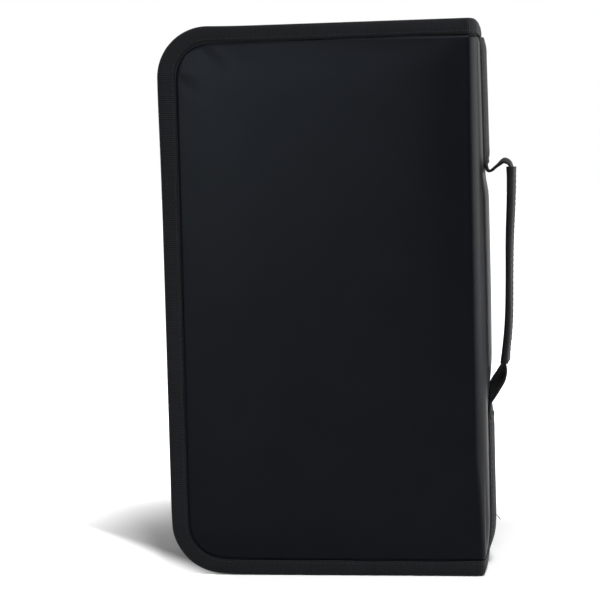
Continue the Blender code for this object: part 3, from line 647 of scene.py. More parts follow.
def skin_depth(side, across, up):
    """Depth of the outer cloth: under the binding, down in the seam, then up over the padding."""
    inset = min(across, up, HEIGHT - up)
    depth = float(np.interp(inset, *SKIN_PROFILE))
    if depth < 0:
        depth *= smoothstep((FLAT_ACROSS - across) / 0.012)
    if across > FLAT_ACROSS + FOLD_ARC:
        depth -= padding_bulge(MIDDLE_ACROSS - across, up) * smoothstep((inset - 0.0085) / 0.004)
    return depth


def skin_steps(length, both_ends):
    """Close steps at the seam and even ones between, over a length that is bound at one or both ends."""
    seam = [0.0009, 0.0045, 0.0078, 0.0084, 0.0088, 0.0093, 0.0099, 0.0108, 0.0122, 0.0145, 0.0172]
    last = length - seam[-1] if both_ends else length
    steps = seam[:-1] + evenly(seam[-1], last, round((last - seam[-1]) / 0.0032))
    return steps + [length - s for s in reversed(seam[:-1])] if both_ends else steps


def cover_skin(side):
    """Outer cloth and padding of a cover, its fold and half the spine, and the points that its seams hold."""
    fold_end = FLAT_ACROSS + FOLD_ARC
    acrosses = skin_steps(FLAT_ACROSS, False) + evenly(FLAT_ACROSS, fold_end, 10)[1:]
    acrosses += evenly(fold_end, fold_end + SPINE_FLAT, 11)[1:]
    ups = skin_steps(HEIGHT, True)
    grid, held = [], []
    for across in acrosses:
        row = []
        for up in ups:
            if min(across, up, HEIGHT - up) < 0.0095 or across > FLAT_ACROSS - 0.004:
                held.append(len(grid) * len(ups) + len(row))
            spot = into_corner(across, up)
            row.append((wrap(side, *spot, skin_depth(side, across, up)), wrap(side, *spot, SKIN_INNER), spot))
        grid.append(row)
    layer = len(acrosses) * len(ups)
    return slab(PREFIX[side] + "_skin", grid), held + list(range(layer, 2 * layer))


def swell_by_cloth(made, held, pressure, most):
    """Lets pressure push the cloth out between what holds it, and limits how far a point may move."""
    rest = np.array([v.co for v in made.data.vertices])
    group = made.vertex_groups.new(name="held")
    group.add(list(held), 1.0, "REPLACE")
    cloth = made.modifiers.new("Padding", "CLOTH")
    cloth.settings.vertex_group_mass = "held"
    cloth.settings.quality = 5
    cloth.settings.mass = 0.2
    cloth.settings.tension_stiffness = cloth.settings.compression_stiffness = 15
    cloth.settings.bending_stiffness = 0.5
    cloth.settings.use_pressure = True
    cloth.settings.uniform_pressure_force = pressure
    cloth.settings.effector_weights.gravity = 0
    cloth.collision_settings.use_collision = False
    scene = bpy.context.scene
    for step in range(1, 21):
        scene.frame_set(step)
    moved = made.evaluated_get(bpy.context.evaluated_depsgraph_get()).data
    shift = np.array([v.co for v in moved.vertices]) - rest
    made.modifiers.remove(cloth)
    made.vertex_groups.remove(group)
    scene.frame_set(1)
    length = np.linalg.norm(shift, axis=1, keepdims=True)
    limited = most * np.tanh(length / most) / np.maximum(length, 1e-9)
    made.data.vertices.foreach_set("co", (rest + shift * limited).astype(np.float32).ravel())
    made.data.update()


class WALLET_OT_cover_skins(bpy.types.Operator):
    """Make the padded outer cloth of both covers, round the folds to the middle of the spine"""
    bl_idname = "wallet.cover_skins"
    bl_label = "Cover Skins"

    def execute(self, context):
        sizes = context.scene.wallet_sizes
        for side in (FRONT, BACK):
            made, held = cover_skin(side)
            swell_by_cloth(made, held, sizes.padding_pressure, sizes.swell)
            subdivide(made)
            nodes = [PREFIX[side] + "_cover_panel"] + (["spine_panel"] if side == FRONT else [])
            finish_piece(made, MATERIALS["cover"], replaces=nodes)
            blend_round_fold(made)
        return {"FINISHED"}


def blend_round_fold(made):
    """Bakes the piece's place into its points; it is tied to no body, so it follows neither cover nor spine.
    """
    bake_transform(made)


# Bindings

def binding_section(width, along):
    """Closed outline of the folded tape, as insets and depths: outside first, then back along the inside."""
    thick, half = BINDING_DEPTH, BINDING_DEPTH / 2
    edge = width + 0.00018 * math.sin(along * 61.0) + 0.00012 * math.sin(along * 173.0 + 1.0)
    lift = 0.00010 * math.sin(along * 47.0 + 2.0)
    seam, flat, rise, bend = TAPE_STATIONS

    def turn(reach, angles):
        return [(half - reach * math.sin(a), half - reach * math.cos(a)) for a in map(math.radians, angles)]

    outside = [(edge, TAPE_PULL + 0.0003), (edge - 0.0004, TAPE_PULL * 0.9), (seam, TAPE_PULL * 1.2),
               (flat, lift * 0.5), (rise, lift - 0.00005), (bend, 0.0)]
    outside += turn(half, (15, 35, 55, 75, 90, 105, 125, 145, 165))
    outside += [(bend, thick), (rise, thick - lift), (flat, thick), (seam, thick - TAPE_PULL),
                (edge - 0.0004, thick - TAPE_PULL * 0.5), (edge, thick - TAPE_PULL - 0.0003)]
    inside = [(inset, thick - TAPE_CLOTH) for inset in (edge, flat, bend)]
    inside += turn(half - TAPE_CLOTH, (160, 125, 90, 55, 20))
    inside += [(inset, TAPE_CLOTH) for inset in (bend, flat, edge)]
    return outside + inside


def corner_pucker(along):
    """Full in the middle of the round corners, where the tape's inner edge gathers, and nothing elsewhere."""
    t = (min(along, RIM_LENGTH - along) - RIM_STRAIGHT) / RIM_ARC
    return math.sin(math.pi * t) if 0 < t < 1 else 0.0


def tape_stand(along):
    """How far the tape stands off the edge that it covers: most at the free edge and its upper corner."""
    from_top = RIM_LENGTH - along
    free = smoothstep((min(along, from_top) - RIM_STRAIGHT + 0.02) / 0.06)
    upper = math.exp(-((from_top - RIM_STRAIGHT - 0.045) / 0.035) ** 2)
    return 0.0011 * free + 0.0006 * upper


def cover_binding(side, width):
    alongs = rim_steps()
    rows = []
    for along in alongs:
        gather = PUCKER * corner_pucker(along) * math.sin(along * 2 * math.pi / PUCKER_PITCH)
        stand = tape_stand(along)
        out_of_middle = min(along, RIM_LENGTH - along) / SPINE_FLAT
        swell = END_SWELL * max(0.0, 1 - out_of_middle ** 2)
        row = []
        for inset, depth in binding_section(width, along):
            push = gather * smoothstep((inset - 0.003) / 0.004)
            push -= swell * smoothstep((0.0015 - depth) / 0.0015)
            row.append(rim(side, along, inset - stand * (1 - inset / 0.009), depth + push))
        rows.append(row)
    flat = binding_section(width, 0.0)
    around = running([(inset, depth, 0) for inset, depth in flat + flat[:1]])
    return tube(PREFIX[side] + "_binding_tape", rows, alongs, around)


class WALLET_OT_bindings(bpy.types.Operator):
    """Make the ribbed tape that is folded over the edges of the covers and the spine"""
    bl_idname = "wallet.bindings"
    bl_label = "Bindings"

    def execute(self, context):
        for side in (FRONT, BACK):
            made = cover_binding(side, context.scene.wallet_sizes.binding_width)
            nodes = [PREFIX[side] + "_binding"]
            nodes += ["spine_binding_top", "spine_binding_bottom"] if side == FRONT else []
            finish_piece(made, MATERIALS["binding"], replaces=nodes)
            blend_round_fold(made)
        return {"FINISHED"}


# Walls and zip tapes

def wall(side):
    """The cloth wall between binding and zip: soft, with a folded hem along the zip."""
    alongs = evenly(WALL_FIRST, WALL_LAST, 330)
    inner, back = FLANGE_DEPTH + WALL_CLOTH, WALL_INSET + WALL_CLOTH
    rows = []
    for along in alongs:
        end = smoothstep(min(along - WALL_FIRST, WALL_LAST - along) / 0.03)
        sway = 0.00035 * math.sin(along * 38.0 + side) + 0.0002 * math.sin(along * 97.0 + 2 * side) + 0.0003
        sag = [WALL_INSET + sway * end * math.sin(math.pi * (depth - inner) / (WALL_EDGE - inner))
               for depth in WALL_DEPTHS]
        section = [(WALL_START, FLANGE_DEPTH), (back, FLANGE_DEPTH), (back, WALL_FOOT)]
        section += [(inset + WALL_CLOTH, depth) for inset, depth in zip(sag, WALL_DEPTHS)]
        section += [(back, WALL_EDGE - 0.0008), (WALL_INSET + WALL_CLOTH * 0.75, WALL_EDGE - 0.0002),
                    (WALL_INSET + WALL_CLOTH * 0.3, WALL_EDGE - 0.0002),
                    (WALL_INSET - 0.0002, WALL_EDGE - 0.0009), (WALL_INSET - 0.0003, WALL_EDGE - 0.0028)]
        section += reversed(list(zip(sag, WALL_DEPTHS)))
        section += [(WALL_INSET, WALL_FOOT), (WALL_INSET, inner), (WALL_START, inner)]
        rows.append([rim(side, along, *spot) for spot in section])
    return tube(PREFIX[side] + "_wall", rows, alongs)


def zip_tape(side):
    """The tape that carries a row of the zip, behind the wall's hem."""
    alongs = evenly(WALL_FIRST, WALL_LAST, 300)
    inner = TAPE_INSET + ZIP_TAPE_CLOTH
    far, seam, near = ROW_TIP - ZIP_TAPE_WIDTH, ROW_TIP - ZIP_TAPE_SEAM, ROW_TIP - 0.0004
    rows = []
    for along in alongs:
        sway = 0.00012 * math.sin(along * 83.0 + side)
        section = [(TAPE_INSET, far), (inner, far), (inner, seam), (inner, near), (inner - 0.0001, ROW_TIP),
                   (TAPE_INSET + 0.0001, ROW_TIP), (TAPE_INSET, near), (TAPE_INSET, seam + sway)]
        rows.append([rim(side, along, *spot) for spot in section])
    return tube(PREFIX[side] + "_tape", rows, alongs)


class WALLET_OT_walls(bpy.types.Operator):
    """Make the cloth walls and the zip's tapes"""
    bl_idname = "wallet.walls"
    bl_label = "Walls and Tapes"

    def execute(self, context):
        for side in (FRONT, BACK):
            made = finish_piece(wall(side), MATERIALS["wall"], COVER_BODY[side],
                                [PREFIX[side] + "_gusset"])
            finish_piece(zip_tape(side), MATERIALS["zip_tape"], COVER_BODY[side],
                         [PREFIX[side] + "_zip_tape"])
        return {"FINISHED"}


# Rows of repeated shapes

def guide(name, spots):
    """A line of points for a node tree to follow, with the direction away from the cloth at each point."""
    mesh = bpy.data.meshes.new(name)
    mesh.from_pydata([tuple(p) for p, out in spots], [(k, k + 1) for k in range(len(spots) - 1)], [])
    away = mesh.attributes.new("away", "FLOAT_VECTOR", "POINT")
    away.data.foreach_set("vector", np.array([tuple(out) for p, out in spots], np.float32).ravel())
    return linked(name, mesh)


class RowTree(NodeMaker):
    """A node tree that sets one small shape along a line at an even pitch."""

    def __init__(self, name, inputs):
        super().__init__(bpy.data.node_groups.new(name, "GeometryNodeTree"))
        face = self.tree.interface
        face.new_socket("Geometry", in_out="INPUT", socket_type="NodeSocketGeometry")
        self.sockets = {}
        for label, default in inputs.items():
            socket = face.new_socket(label, in_out="INPUT", socket_type="NodeSocketFloat")
            socket.default_value = default
            self.sockets[label] = socket.identifier
        socket = face.new_socket("Material", in_out="INPUT", socket_type="NodeSocketMaterial")
        self.sockets["Material"] = socket.identifier
        face.new_socket("Geometry", in_out="OUTPUT", socket_type="NodeSocketGeometry")
        self.entry = self.tree.nodes.new("NodeGroupInput")

    def value(self, label):
        return self.entry.outputs[label]

    def finish(self, shape, scale=(1.0, 1.0, 1.0)):
        """Instances of the shape on the resampled line, made real and given their material."""
        line = self.node("GeometryNodeMeshToCurve", {"Mesh": self.value("Geometry")})
        spaced = self.node("GeometryNodeResampleCurve",
                           {"Curve": line.outputs[0], "Length": self.value("Pitch")}, mode="LENGTH")
        tangent = self.node("GeometryNodeInputTangent")
        away = self.node("GeometryNodeInputNamedAttribute", {"Name": "away"}, data_type="FLOAT_VECTOR")
        turn = self.node("FunctionNodeAlignRotationToVector", {"Vector": tangent.outputs[0]}, axis="X")
        turn = self.node("FunctionNodeAlignRotationToVector",
                         {"Rotation": turn.outputs[0], "Vector": away.outputs["Attribute"]},
                         axis="Z", pivot_axis="X")
        placed = self.node("GeometryNodeInstanceOnPoints", {
            "Points": spaced.outputs[0], "Instance": shape, "Rotation": turn.outputs[0], "Scale": scale})
        real = self.node("GeometryNodeRealizeInstances", {"Geometry": placed.outputs[0]})
        painted = self.node("GeometryNodeSetMaterial",
                            {"Geometry": real.outputs[0], "Material": self.value("Material")})
        self.node("NodeGroupOutput", {0: painted.outputs[0]})
        return self

    def apply(self, made, material, **values):
        step = made.modifiers.new("Row", "NODES")
        step.node_group = self.tree
        for label, value in values.items():
            step[self.sockets[label.replace("_", " ")]] = value
        step[self.sockets["Material"]] = material
        bake_modifiers(made)
        made.data.shade_smooth()
        return made


UPRIGHT = (0.0, math.pi / 2, 0.0)


def stitch_tree():
    tree = RowTree("Stitches", {"Pitch": 0.003, "Stitch Length": 0.0024, "Thread Radius": 0.0002})
    radius = tree.value("Thread Radius")
    grain = tree.node("GeometryNodeMeshUVSphere", {"Segments": 6, "Rings": 5, "Radius": 1.0})
    half = tree.math("MULTIPLY", tree.value("Stitch Length"), 0.5)
    size = tree.node("ShaderNodeCombineXYZ", {0: half, 1: radius, 2: tree.math("MULTIPLY", radius, 0.75)})
    along = tree.node("GeometryNodeTransform", {"Geometry": grain.outputs[0], "Rotation": UPRIGHT})
    return tree.finish(along.outputs[0], size.outputs[0])


def coil_tree():
    tree = RowTree("Zip row", {
        "Pitch": 0.0016, "Row Width": 0.0032, "Row Height": 0.002, "Wire": 0.0004, "Slant": 0.3})
    ring = tree.node("GeometryNodeCurvePrimitiveCircle", {"Resolution": 10, "Radius": 0.5})
    wire = tree.node("GeometryNodeCurvePrimitiveCircle", {"Resolution": 4, "Radius": tree.value("Wire")})
    size = tree.node("ShaderNodeCombineXYZ", {
        0: tree.value("Row Height"), 1: tree.value("Row Width"), 2: 1.0})
    shape = ring.outputs[0]
    slant = tree.node("ShaderNodeCombineXYZ", {2: tree.value("Slant")})
    for change in ({"Scale": size.outputs[0]}, {"Rotation": UPRIGHT}, {"Rotation": slant.outputs[0]}):
        shape = tree.node("GeometryNodeTransform", {"Geometry": shape, **change}).outputs[0]
    coil = tree.node("GeometryNodeCurveToMesh", {"Curve": shape, "Profile Curve": wire.outputs[0]})
    return tree.finish(coil.outputs[0])


def rim_guide(name, side, first, last, inset, depth, away):
    """A guide along the rim. Away is the inset and depth that one step away from the cloth changes."""
    spots = []
    for along in evenly(first, last, round((last - first) / GUIDE_STEP)):
        here = rim(side, along, inset, depth)
        there = rim(side, along, inset + 0.001 * away[0], depth + 0.001 * away[1])
        spots.append((here, (there - here).normalized()))
    return guide(name, spots)


class WALLET_OT_zip_rows(bpy.types.Operator):
    """Make the two coiled rows of the zip and their end clips"""
    bl_idname = "wallet.zip_rows"
    bl_label = "Zip Rows"

    def execute(self, context):
        pitch, wire = context.scene.wallet_sizes.coil_pitch, context.scene.wallet_sizes.coil_wire
        tree = coil_tree()
        middle = ROW_TIP - ROW_WIDTH / 2 + 0.0001
        for side in (FRONT, BACK):
            first, last = WALL_FIRST + ROW_START, WALL_LAST - ROW_END
            if side == FRONT:
                first, last = first + pitch / 2, last - FRONT_ROW_SHORTER
            line = rim_guide(PREFIX[side] + "_coil_row", side, first, last, ROW_INSET, middle, (-1, 0))
            made = tree.apply(line, MATERIALS["coil"], Pitch=pitch, Row_Width=ROW_WIDTH - 2 * wire,
                              Row_Height=ROW_HEIGHT - 2 * wire, Wire=wire, Slant=0.25 * side)
            finish_piece(made, MATERIALS["coil"], COVER_BODY[side], [PREFIX[side] + "_zip_coil"])
            clip = copy_of_part(PREFIX[side] + "_zip_stop", 0.0004)
            finish_piece(clip, MATERIALS["slider"], COVER_BODY[side], [PREFIX[side] + "_zip_stop"])
        return {"FINISHED"}


class WALLET_OT_slider(bpy.types.Operator):
    """Make the zip's slider and its pull tab"""
    bl_idname = "wallet.slider"
    bl_label = "Slider and Pull"

    def execute(self, context):
        for node, bevel in (("zip_slider", 0.00028), ("zip_pull", 0.00035)):
            made = copy_of_part(node, bevel)
            finish_piece(made, MATERIALS["slider"], node, [node])
        return {"FINISHED"}


# Handle

# The loose thread end on the strap: how high it starts, and its spots from there
THREAD_END = 0.0268
THREAD_SPOTS = (
    (-0.0004, -0.0095, 0.0012), (0.0004, -0.0098, 0.0009), (0.0012, -0.0100, 0.0002),
    (0.0019, -0.0101, -0.0007), (0.0023, -0.0101, -0.0015),
)


def smooth_path(spots):
    """A smooth line through the spots, in the plane of the handle, in six steps from spot to spot."""
    line = []
    points = [Vector(spot) for spot in spots]
    for k, (start, end) in enumerate(zip(points, points[1:])):
        before, after = points[max(k - 1, 0)], points[min(k + 2, len(points) - 1)]
        third = (end - start).length / 3
        lead = start + (end - before).normalized() * third
        trail = end - (after - start).normalized() * third
        for t in evenly(0.0, 1.0, 6)[:-1]:
            line.append((1 - t) ** 3 * start + 3 * (1 - t) ** 2 * t * lead + 3 * (1 - t) * t ** 2 * trail
                        + t ** 3 * end)
    return line + points[-1:]


def strap_on_spine(z):
    """The sewn strap's middle line: its ends go under the binding."""
    shown = smoothstep((min(z, HEIGHT - z) - 0.0062) / 0.0036)
    return SPINE_X - 0.0002 + shown * (padding_bulge(0.0, z) + STRAP_GAP + STRAP_THICKNESS / 2 + 0.0002)


def grip_line(z):
    """The middle of the grip, bowed towards the spine at its lower end."""
    half = STRAP_THICKNESS / 2 + STRAP_GAP + GRIP_WALL
    return SPINE_X + HANDLE_REACH - half - softened(GRIP_BOW, (GRIP_TOP - z) / GRIP_LENGTH, 0.03)


def handle_line():
    """The strap's middle line from the top binding to the bottom binding, as (x, z)."""
    end = 0.008 + STRAP_GAP
    bend = STRAP_LEAVES + BEND_RADIUS
    spots = [(strap_on_spine(z), z) for z in evenly(HEIGHT - end, bend + 0.002, 12)]
    leave = strap_on_spine(bend)
    reach = grip_line(GRIP_TOP) - leave
    spots.append((leave + BEND_RADIUS, STRAP_LEAVES + 0.0002))
    spots += [(leave + out * reach, STRAP_LEAVES + rise * HUMP_RISE)
              for out, rise in ((0.42, 0.45), (0.72, 1.0), (0.93, 0.8))]
    spots.append((grip_line(GRIP_TOP), GRIP_TOP + STRAP_GAP))
    spots += [(grip_line(z), z) for z in evenly(GRIP_TOP, GRIP_END, 8)[1:]]
    landing = strap_on_spine(STRAP_RETURNS)
    reach, drop = grip_line(GRIP_END) - landing, GRIP_END - STRAP_RETURNS
    spots += [(landing + out * reach, GRIP_END - fall * drop) for out, fall in ((0.72, 0.42), (0.30, 0.75))]
    heights = [STRAP_RETURNS - LANDING_RUN / 4] + evenly(STRAP_RETURNS - LANDING_RUN, end, 10)
    return spots + [(strap_on_spine(z), z) for z in heights]


def across_line(line, k):
    along = (line[min(k + 1, len(line) - 1)] - line[max(k - 1, 0)]).normalized()
    return Vector((-along.y, along.x))


def band_section(width, thickness, edge):
    """Closed outline of a flat band: (offset from its middle plane, place across it)."""
    half, rise = width / 2, thickness / 2
    flats = [half - edge, half * 0.62, half * 0.3, 0.0, -half * 0.3, -half * 0.62, -half + edge]
    turn = [(rise * math.cos(a), edge - half - edge * math.sin(a)) for a in map(math.radians, (45, 90, 135))]
    near = [(rise, y) for y in flats] + turn
    return near + [(-off, -y) for off, y in near]


def strap_twist(spot):
    """Turn of the strap about its own line: a little in the grip, more where it comes back to the spine."""
    if spot.y >= GRIP_END:
        return -GRIP_TURN * smoothstep((spot.x - SPINE_X - 0.0105) / 0.004)
    share = (spot.y - STRAP_RETURNS + 0.004) / (GRIP_END - STRAP_RETURNS + 0.004)
    if share <= 0:
        return 0.0
    return RETURN_TURN * math.sin(math.pi * share) ** 0.6 - GRIP_TURN * share ** 2


def strap_curl(z, y):
    """Where it is sewn down, the strap's edges are drawn in and its middle stands up."""
    return -(STRAP_RIDGE + STRAP_EDGE_DROP) * strap_sewn(z) * (2 * abs(y) / STRAP_WIDTH) ** 2.2


def turned(off, y, angle):
    """A spot of a band's section after a turn about the band's own line."""
    return off * math.cos(angle) + y * math.sin(angle), y * math.cos(angle) - off * math.sin(angle)


def strap():
    line = smooth_path(handle_line())
    alongs = running([(p.x, p.y, 0) for p in line])
    rows = []
    for k, spot in enumerate(line):
        across = across_line(line, k)
        drift = STRAP_DRIFT * math.sin(alongs[k] * 34.0)
        row = []
        for off, y in band_section(STRAP_WIDTH - STRAP_MARGIN, STRAP_THICKNESS, STRAP_MARGIN):
            lift, place = turned(off, y, -strap_twist(spot))
            lift += strap_curl(spot.y, y)
            row.append(Vector((spot.x + across.x * lift, place + drift, spot.y + across.y * lift)))
        rows.append(row)
    return tube("strap_webbing", rows, alongs)


def grip_pinch(z):
    """The grip is thinner where a hand has held it."""
    return 1 - 0.20 * math.exp(-((z - 0.155) / 0.028) ** 2)


def grip():
    """A folded sleeve round the strap: flat, with full edges, a sewn side and open ends."""
    steps = 60
    line = [Vector((grip_line(z), z)) for z in evenly(GRIP_TOP, GRIP_END, steps)]
    hollow = STRAP_THICKNESS + 2 * STRAP_GAP
    rows_out, rows_in = [], []
    for k, spot in enumerate(line):
        across = across_line(line, k)
        flare = 0.0005 * max(0.0, 1 - min(k, steps - k) / 3)
        sway = 0.0002 * math.sin(k * 0.55) + 0.00015 * math.sin(k * 1.37 + 1.0)
        outer = band_section(GRIP_WIDTH + sway, (hollow + 2 * GRIP_WALL) * grip_pinch(spot.y) + flare, 0.0016)
        inner = band_section(STRAP_WIDTH + 2 * STRAP_GAP, hollow + flare, 0.0008)
        for rows, section in ((rows_out, outer), (rows_in, inner)):
            placed = [turned(off, y, GRIP_TURN) for off, y in section]
            rows.append([Vector((spot.x + across.x * off, y, spot.y + across.y * off)) for off, y in placed])
    alongs = evenly(0.0, GRIP_LENGTH, steps)
    alongs += [GRIP_LENGTH + 0.002 + along for along in alongs]
    middle = rows_out[steps // 2]
    return tube("grip_sleeve", rows_out + rows_in[::-1], alongs + [alongs[-1] + 0.002],
                running([*middle, middle[0]]), ring=True)


def round_thread(name, spots, radius):
    """A short round thread through the spots."""
    points = [Vector(s) for s in spots]
    rows = []
    for k, spot in enumerate(points):
        along = (points[min(k + 1, len(points) - 1)] - points[max(k - 1, 0)]).normalized()
        first = along.orthogonal().normalized()
        second = along.cross(first)
        size = radius * (0.6 if k in (0, len(points) - 1) else 1.0)
        rows.append([spot + size * (math.cos(a) * first + math.sin(a) * second)
                     for a in evenly(0.0, 2 * math.pi, 6)[:-1]])
    return tube(name, rows, running(points))


class WALLET_OT_handle(bpy.types.Operator):
    """Make the strap along the spine, the grip sleeve and the loose thread end"""
    bl_idname = "wallet.handle"
    bl_label = "Handle"

    def execute(self, context):
        finish_piece(strap(), MATERIALS["webbing"], "spine", ["handle_strap"])
        finish_piece(grip(), MATERIALS["grip"], "spine", ["handle_grip"])
        root = Vector((strap_on_spine(THREAD_END) + STRAP_THICKNESS / 2, 0.0, THREAD_END))
        thread = round_thread("thread_end", [root + Vector(spot) for spot in THREAD_SPOTS], 0.00022)
        finish_piece(thread, MATERIALS["thread"], "spine")
        return {"FINISHED"}


# Stitching

# From the strap's and the grip's middle to their rows of stitches, and the thicker zigzag at the strap's ends
STRAP_ROW = 0.0100
GRIP_ROW = 0.0118
TACK_WIDTH = 0.0224
TACK_HEIGHT = 0.0018
TACK_THREAD = {"Pitch": 0.0016, "Stitch_Length": 0.0019, "Thread_Radius": 0.00026}


def strap_spot(z, y, lift):
    """A place on the outer face of the sewn strap."""
    return Vector((strap_on_spine(z) + STRAP_THICKNESS / 2 + strap_curl(z, y) + lift, y, z))


def grip_spot(z, y):
    """A place on the outer face of the grip."""
    off = (STRAP_THICKNESS / 2 + STRAP_GAP + GRIP_WALL) * grip_pinch(z) + 0.00002
    lift, place = turned(off, y, GRIP_TURN)
    return Vector((grip_line(z) + lift, place, z))


class WALLET_OT_stitching(bpy.types.Operator):
    """Make the rows of stitches on bindings, walls, strap and grip"""
    bl_idname = "wallet.stitching"
    bl_label = "Stitching"

    def execute(self, context):
        sizes = context.scene.wallet_sizes
        self.tree = stitch_tree()
        self.thread = {"Pitch": sizes.stitch_pitch, "Stitch_Length": sizes.stitch_length,
                       "Thread_Radius": sizes.thread_radius}
        for side in (FRONT, BACK):
            self.rim_rows(side)
        top, bottom = STRAP_LEAVES + 0.004, STRAP_RETURNS - LANDING_RUN - 0.001
        for name, low, high in (("strap_stitches_top", top, HEIGHT - 0.0095),
                                ("strap_stitches_bottom", 0.0095, bottom)):
            for number, y in enumerate((-STRAP_ROW, STRAP_ROW)):
                spots = [strap_spot(z, y, 0.00003) for z in evenly(low, high, 40)]
                self.spine_row("%s_%d" % (name, number + 1), spots, "webbing", self.thread)
        for name, z in (("bar_tack_top", top + 0.0015), ("bar_tack_bottom", bottom - 0.002)):
            spots = [strap_spot(z, y, 0.00008) for y in evenly(-TACK_WIDTH / 2, TACK_WIDTH / 2, 80)]
            for k, spot in enumerate(spots):
                spot.z += TACK_HEIGHT * (k % 2 - 0.5)
            self.spine_row(name, spots, "webbing", TACK_THREAD)
        for number, y in enumerate((GRIP_ROW, -GRIP_ROW)):
            spots = [grip_spot(z, y) for z in evenly(GRIP_TOP - 0.002, GRIP_END + 0.002, 59)]
            self.spine_row("grip_stitches_%d" % (number + 1), spots, "grip", self.thread)
        return {"FINISHED"}

    def rim_rows(self, side):
        body = COVER_BODY[side]
        for name, first, last, inset, depth, away, slot in (
                ("binding_stitches", 0.0, RIM_LENGTH, STITCH_INSET, 0.00020, (0, -1), "binding"),
                ("binding_inner_stitches", WALL_FIRST, WALL_LAST, STITCH_INSET, BINDING_DEPTH - 0.00015,
                 (0, 1), "binding"),
                ("hem_stitches", WALL_FIRST + 0.001, WALL_LAST - 0.001, WALL_INSET - 0.00025,
                 WALL_EDGE - 0.0022, (-1, 0), "cover_fabric")):
            line = rim_guide(PREFIX[side] + "_" + name, side, first, last, inset, depth, away)
            made = self.tree.apply(line, MATERIALS["thread"], **self.thread)
            if name == "binding_stitches":
                finish_piece(made, MATERIALS["thread"])
                blend_round_fold(made)
            else:
                finish_piece(made, MATERIALS["thread"], body)

    def spine_row(self, name, spots, slot, thread):
        line = guide(name, [(spot, Vector((1, 0, 0))) for spot in spots])
        finish_piece(self.tree.apply(line, MATERIALS["thread"], **thread), MATERIALS["thread"], "spine")


# Inside

LINING_DEPTHS = (0.0049, 0.0041)
PAGE_BACK = HALF_DEPTH - 0.0052
PAGE_LEFT, PAGE_RIGHT = (corner.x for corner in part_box("disc_sleeves"))
PAGE_LOW, PAGE_HIGH = (corner.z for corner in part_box("disc_sleeves"))
PAGE_MIDDLE = (PAGE_LOW + PAGE_HIGH) / 2
PAGE_CORNER = 0.0128
PAGE_THICKNESS = 0.050
BOUND_THICKNESS = 0.012
BOUND_MARGIN = 0.014
FAN_RUN = 0.034
WELD_RUN = 0.022
WELD_HALF = 0.00028
FILM_MARGIN = 0.0035
FILM_CORNER = 0.004
THUMB_NOTCH = 0.012


def lining(side):
    """The inner cloth of a cover: it dips into the fold as a gutter and ends at the middle of the spine."""
    fold_end = FLAT_ACROSS + FOLD_ARC
    acrosses = evenly(BOARD_SPOT, FLAT_ACROSS, 40) + evenly(FLAT_ACROSS, fold_end, 12)[1:]
    acrosses += evenly(fold_end, fold_end + SPINE_FLAT, 8)[1:]
    grid = []
    for across in acrosses:
        turn = (across - FLAT_ACROSS) / FOLD_ARC
        dip = 0.0011 * math.sin(math.pi * turn) ** 2 if 0 < turn < 1 else 0.0
        end = BOARD_SPOT - 0.0020 * smoothstep((across - FLAT_ACROSS - 0.0005) / 0.003)
        row = []
        for up in evenly(end, HEIGHT - end, 64):
            spot = into_corner(across, up)
            over = 0.0003 * smoothstep((BOARD_SPOT + 0.002 - min(up, HEIGHT - up)) / 0.003)
            ripple = 0.00010 * math.sin(across * 71.0 + 3.0 * math.sin(up * 23.0))
            front, back = (depth - dip + over for depth in LINING_DEPTHS)
            row.append((wrap(side, *spot, front + ripple), wrap(side, *spot, back), spot))
        grid.append(row)
    return slab(PREFIX[side] + "_lining_cloth", grid)


def stack_thickness(x):
    start = PAGE_RIGHT - BOUND_MARGIN
    return BOUND_THICKNESS + (PAGE_THICKNESS - BOUND_THICKNESS) * smoothstep((start - x) / FAN_RUN)


def leaf_place(number, leaves):
    """How far up the stack a page is, and its free edge: the climb takes some of an upper page's reach."""
    share = (number + 0.5) / leaves
    step = 0.0008 * (number % 2) + 0.0004 * math.sin(number * 2.3)
    climb = share * (PAGE_THICKNESS - BOUND_THICKNESS)
    return share, PAGE_LEFT + step + math.hypot(FAN_RUN, climb) - FAN_RUN


def leaf_middle(x, z, share, leaves, left):
    """Depth of a page's middle and half its thickness: thin where it is welded, full over its pockets."""
    pitch = stack_thickness(x) / leaves
    fill = 1.0
    for reach in (x - left, z - PAGE_LOW, PAGE_HIGH - z, abs(z - PAGE_MIDDLE) + 0.0015):
        fill *= smoothstep(reach / WELD_RUN)
    half = WELD_HALF + (0.46 * pitch - WELD_HALF) * fill
    slack = 0.22 * pitch * (1 - fill) * math.sin(z * 47.0 + share * 61.0)
    free = smoothstep((PAGE_RIGHT - 0.03 - x) / 0.04)
    return PAGE_BACK - share * stack_thickness(x) + slack * free, half


def leaf_stations(left):
    """Places along a page from its bound side, and how much the round corners take off its ends there."""
    start = PAGE_RIGHT - BOUND_MARGIN
    fan_end, corner = start - FAN_RUN, left + PAGE_CORNER
    xs = [PAGE_RIGHT, PAGE_RIGHT - 0.006] + evenly(start, fan_end, 8) + evenly(fan_end, corner, 9)[1:]
    angles = evenly(0.0, math.pi / 2, 8)[1:]
    return [(x, 0.0) for x in xs] + [
        (corner - PAGE_CORNER * math.sin(angle), PAGE_CORNER * (1 - math.cos(angle))) for angle in angles]


def pages(leaves):
    """All pages of sleeves. Each is a flat pouch of its own, bound at the spine's side."""
    parts = []
    for number in range(leaves):
        share, left = leaf_place(number, leaves)
        grid = []
        for x, rise in leaf_stations(left):
            low, high = PAGE_LOW + rise, PAGE_HIGH - rise
            row = []
            for turn in evenly(0.0, math.pi, 24):
                z = low + (high - low) * (0.5 - 0.5 * math.cos(turn))
                middle, half = leaf_middle(x, z, share, leaves, left)
                row.append(((x, middle - half, z), (x, middle + half, z), (x, z)))
            grid.append(row)
        parts.append(slab("page_%d" % number, grid))
    return joined("sleeve_pages", parts)


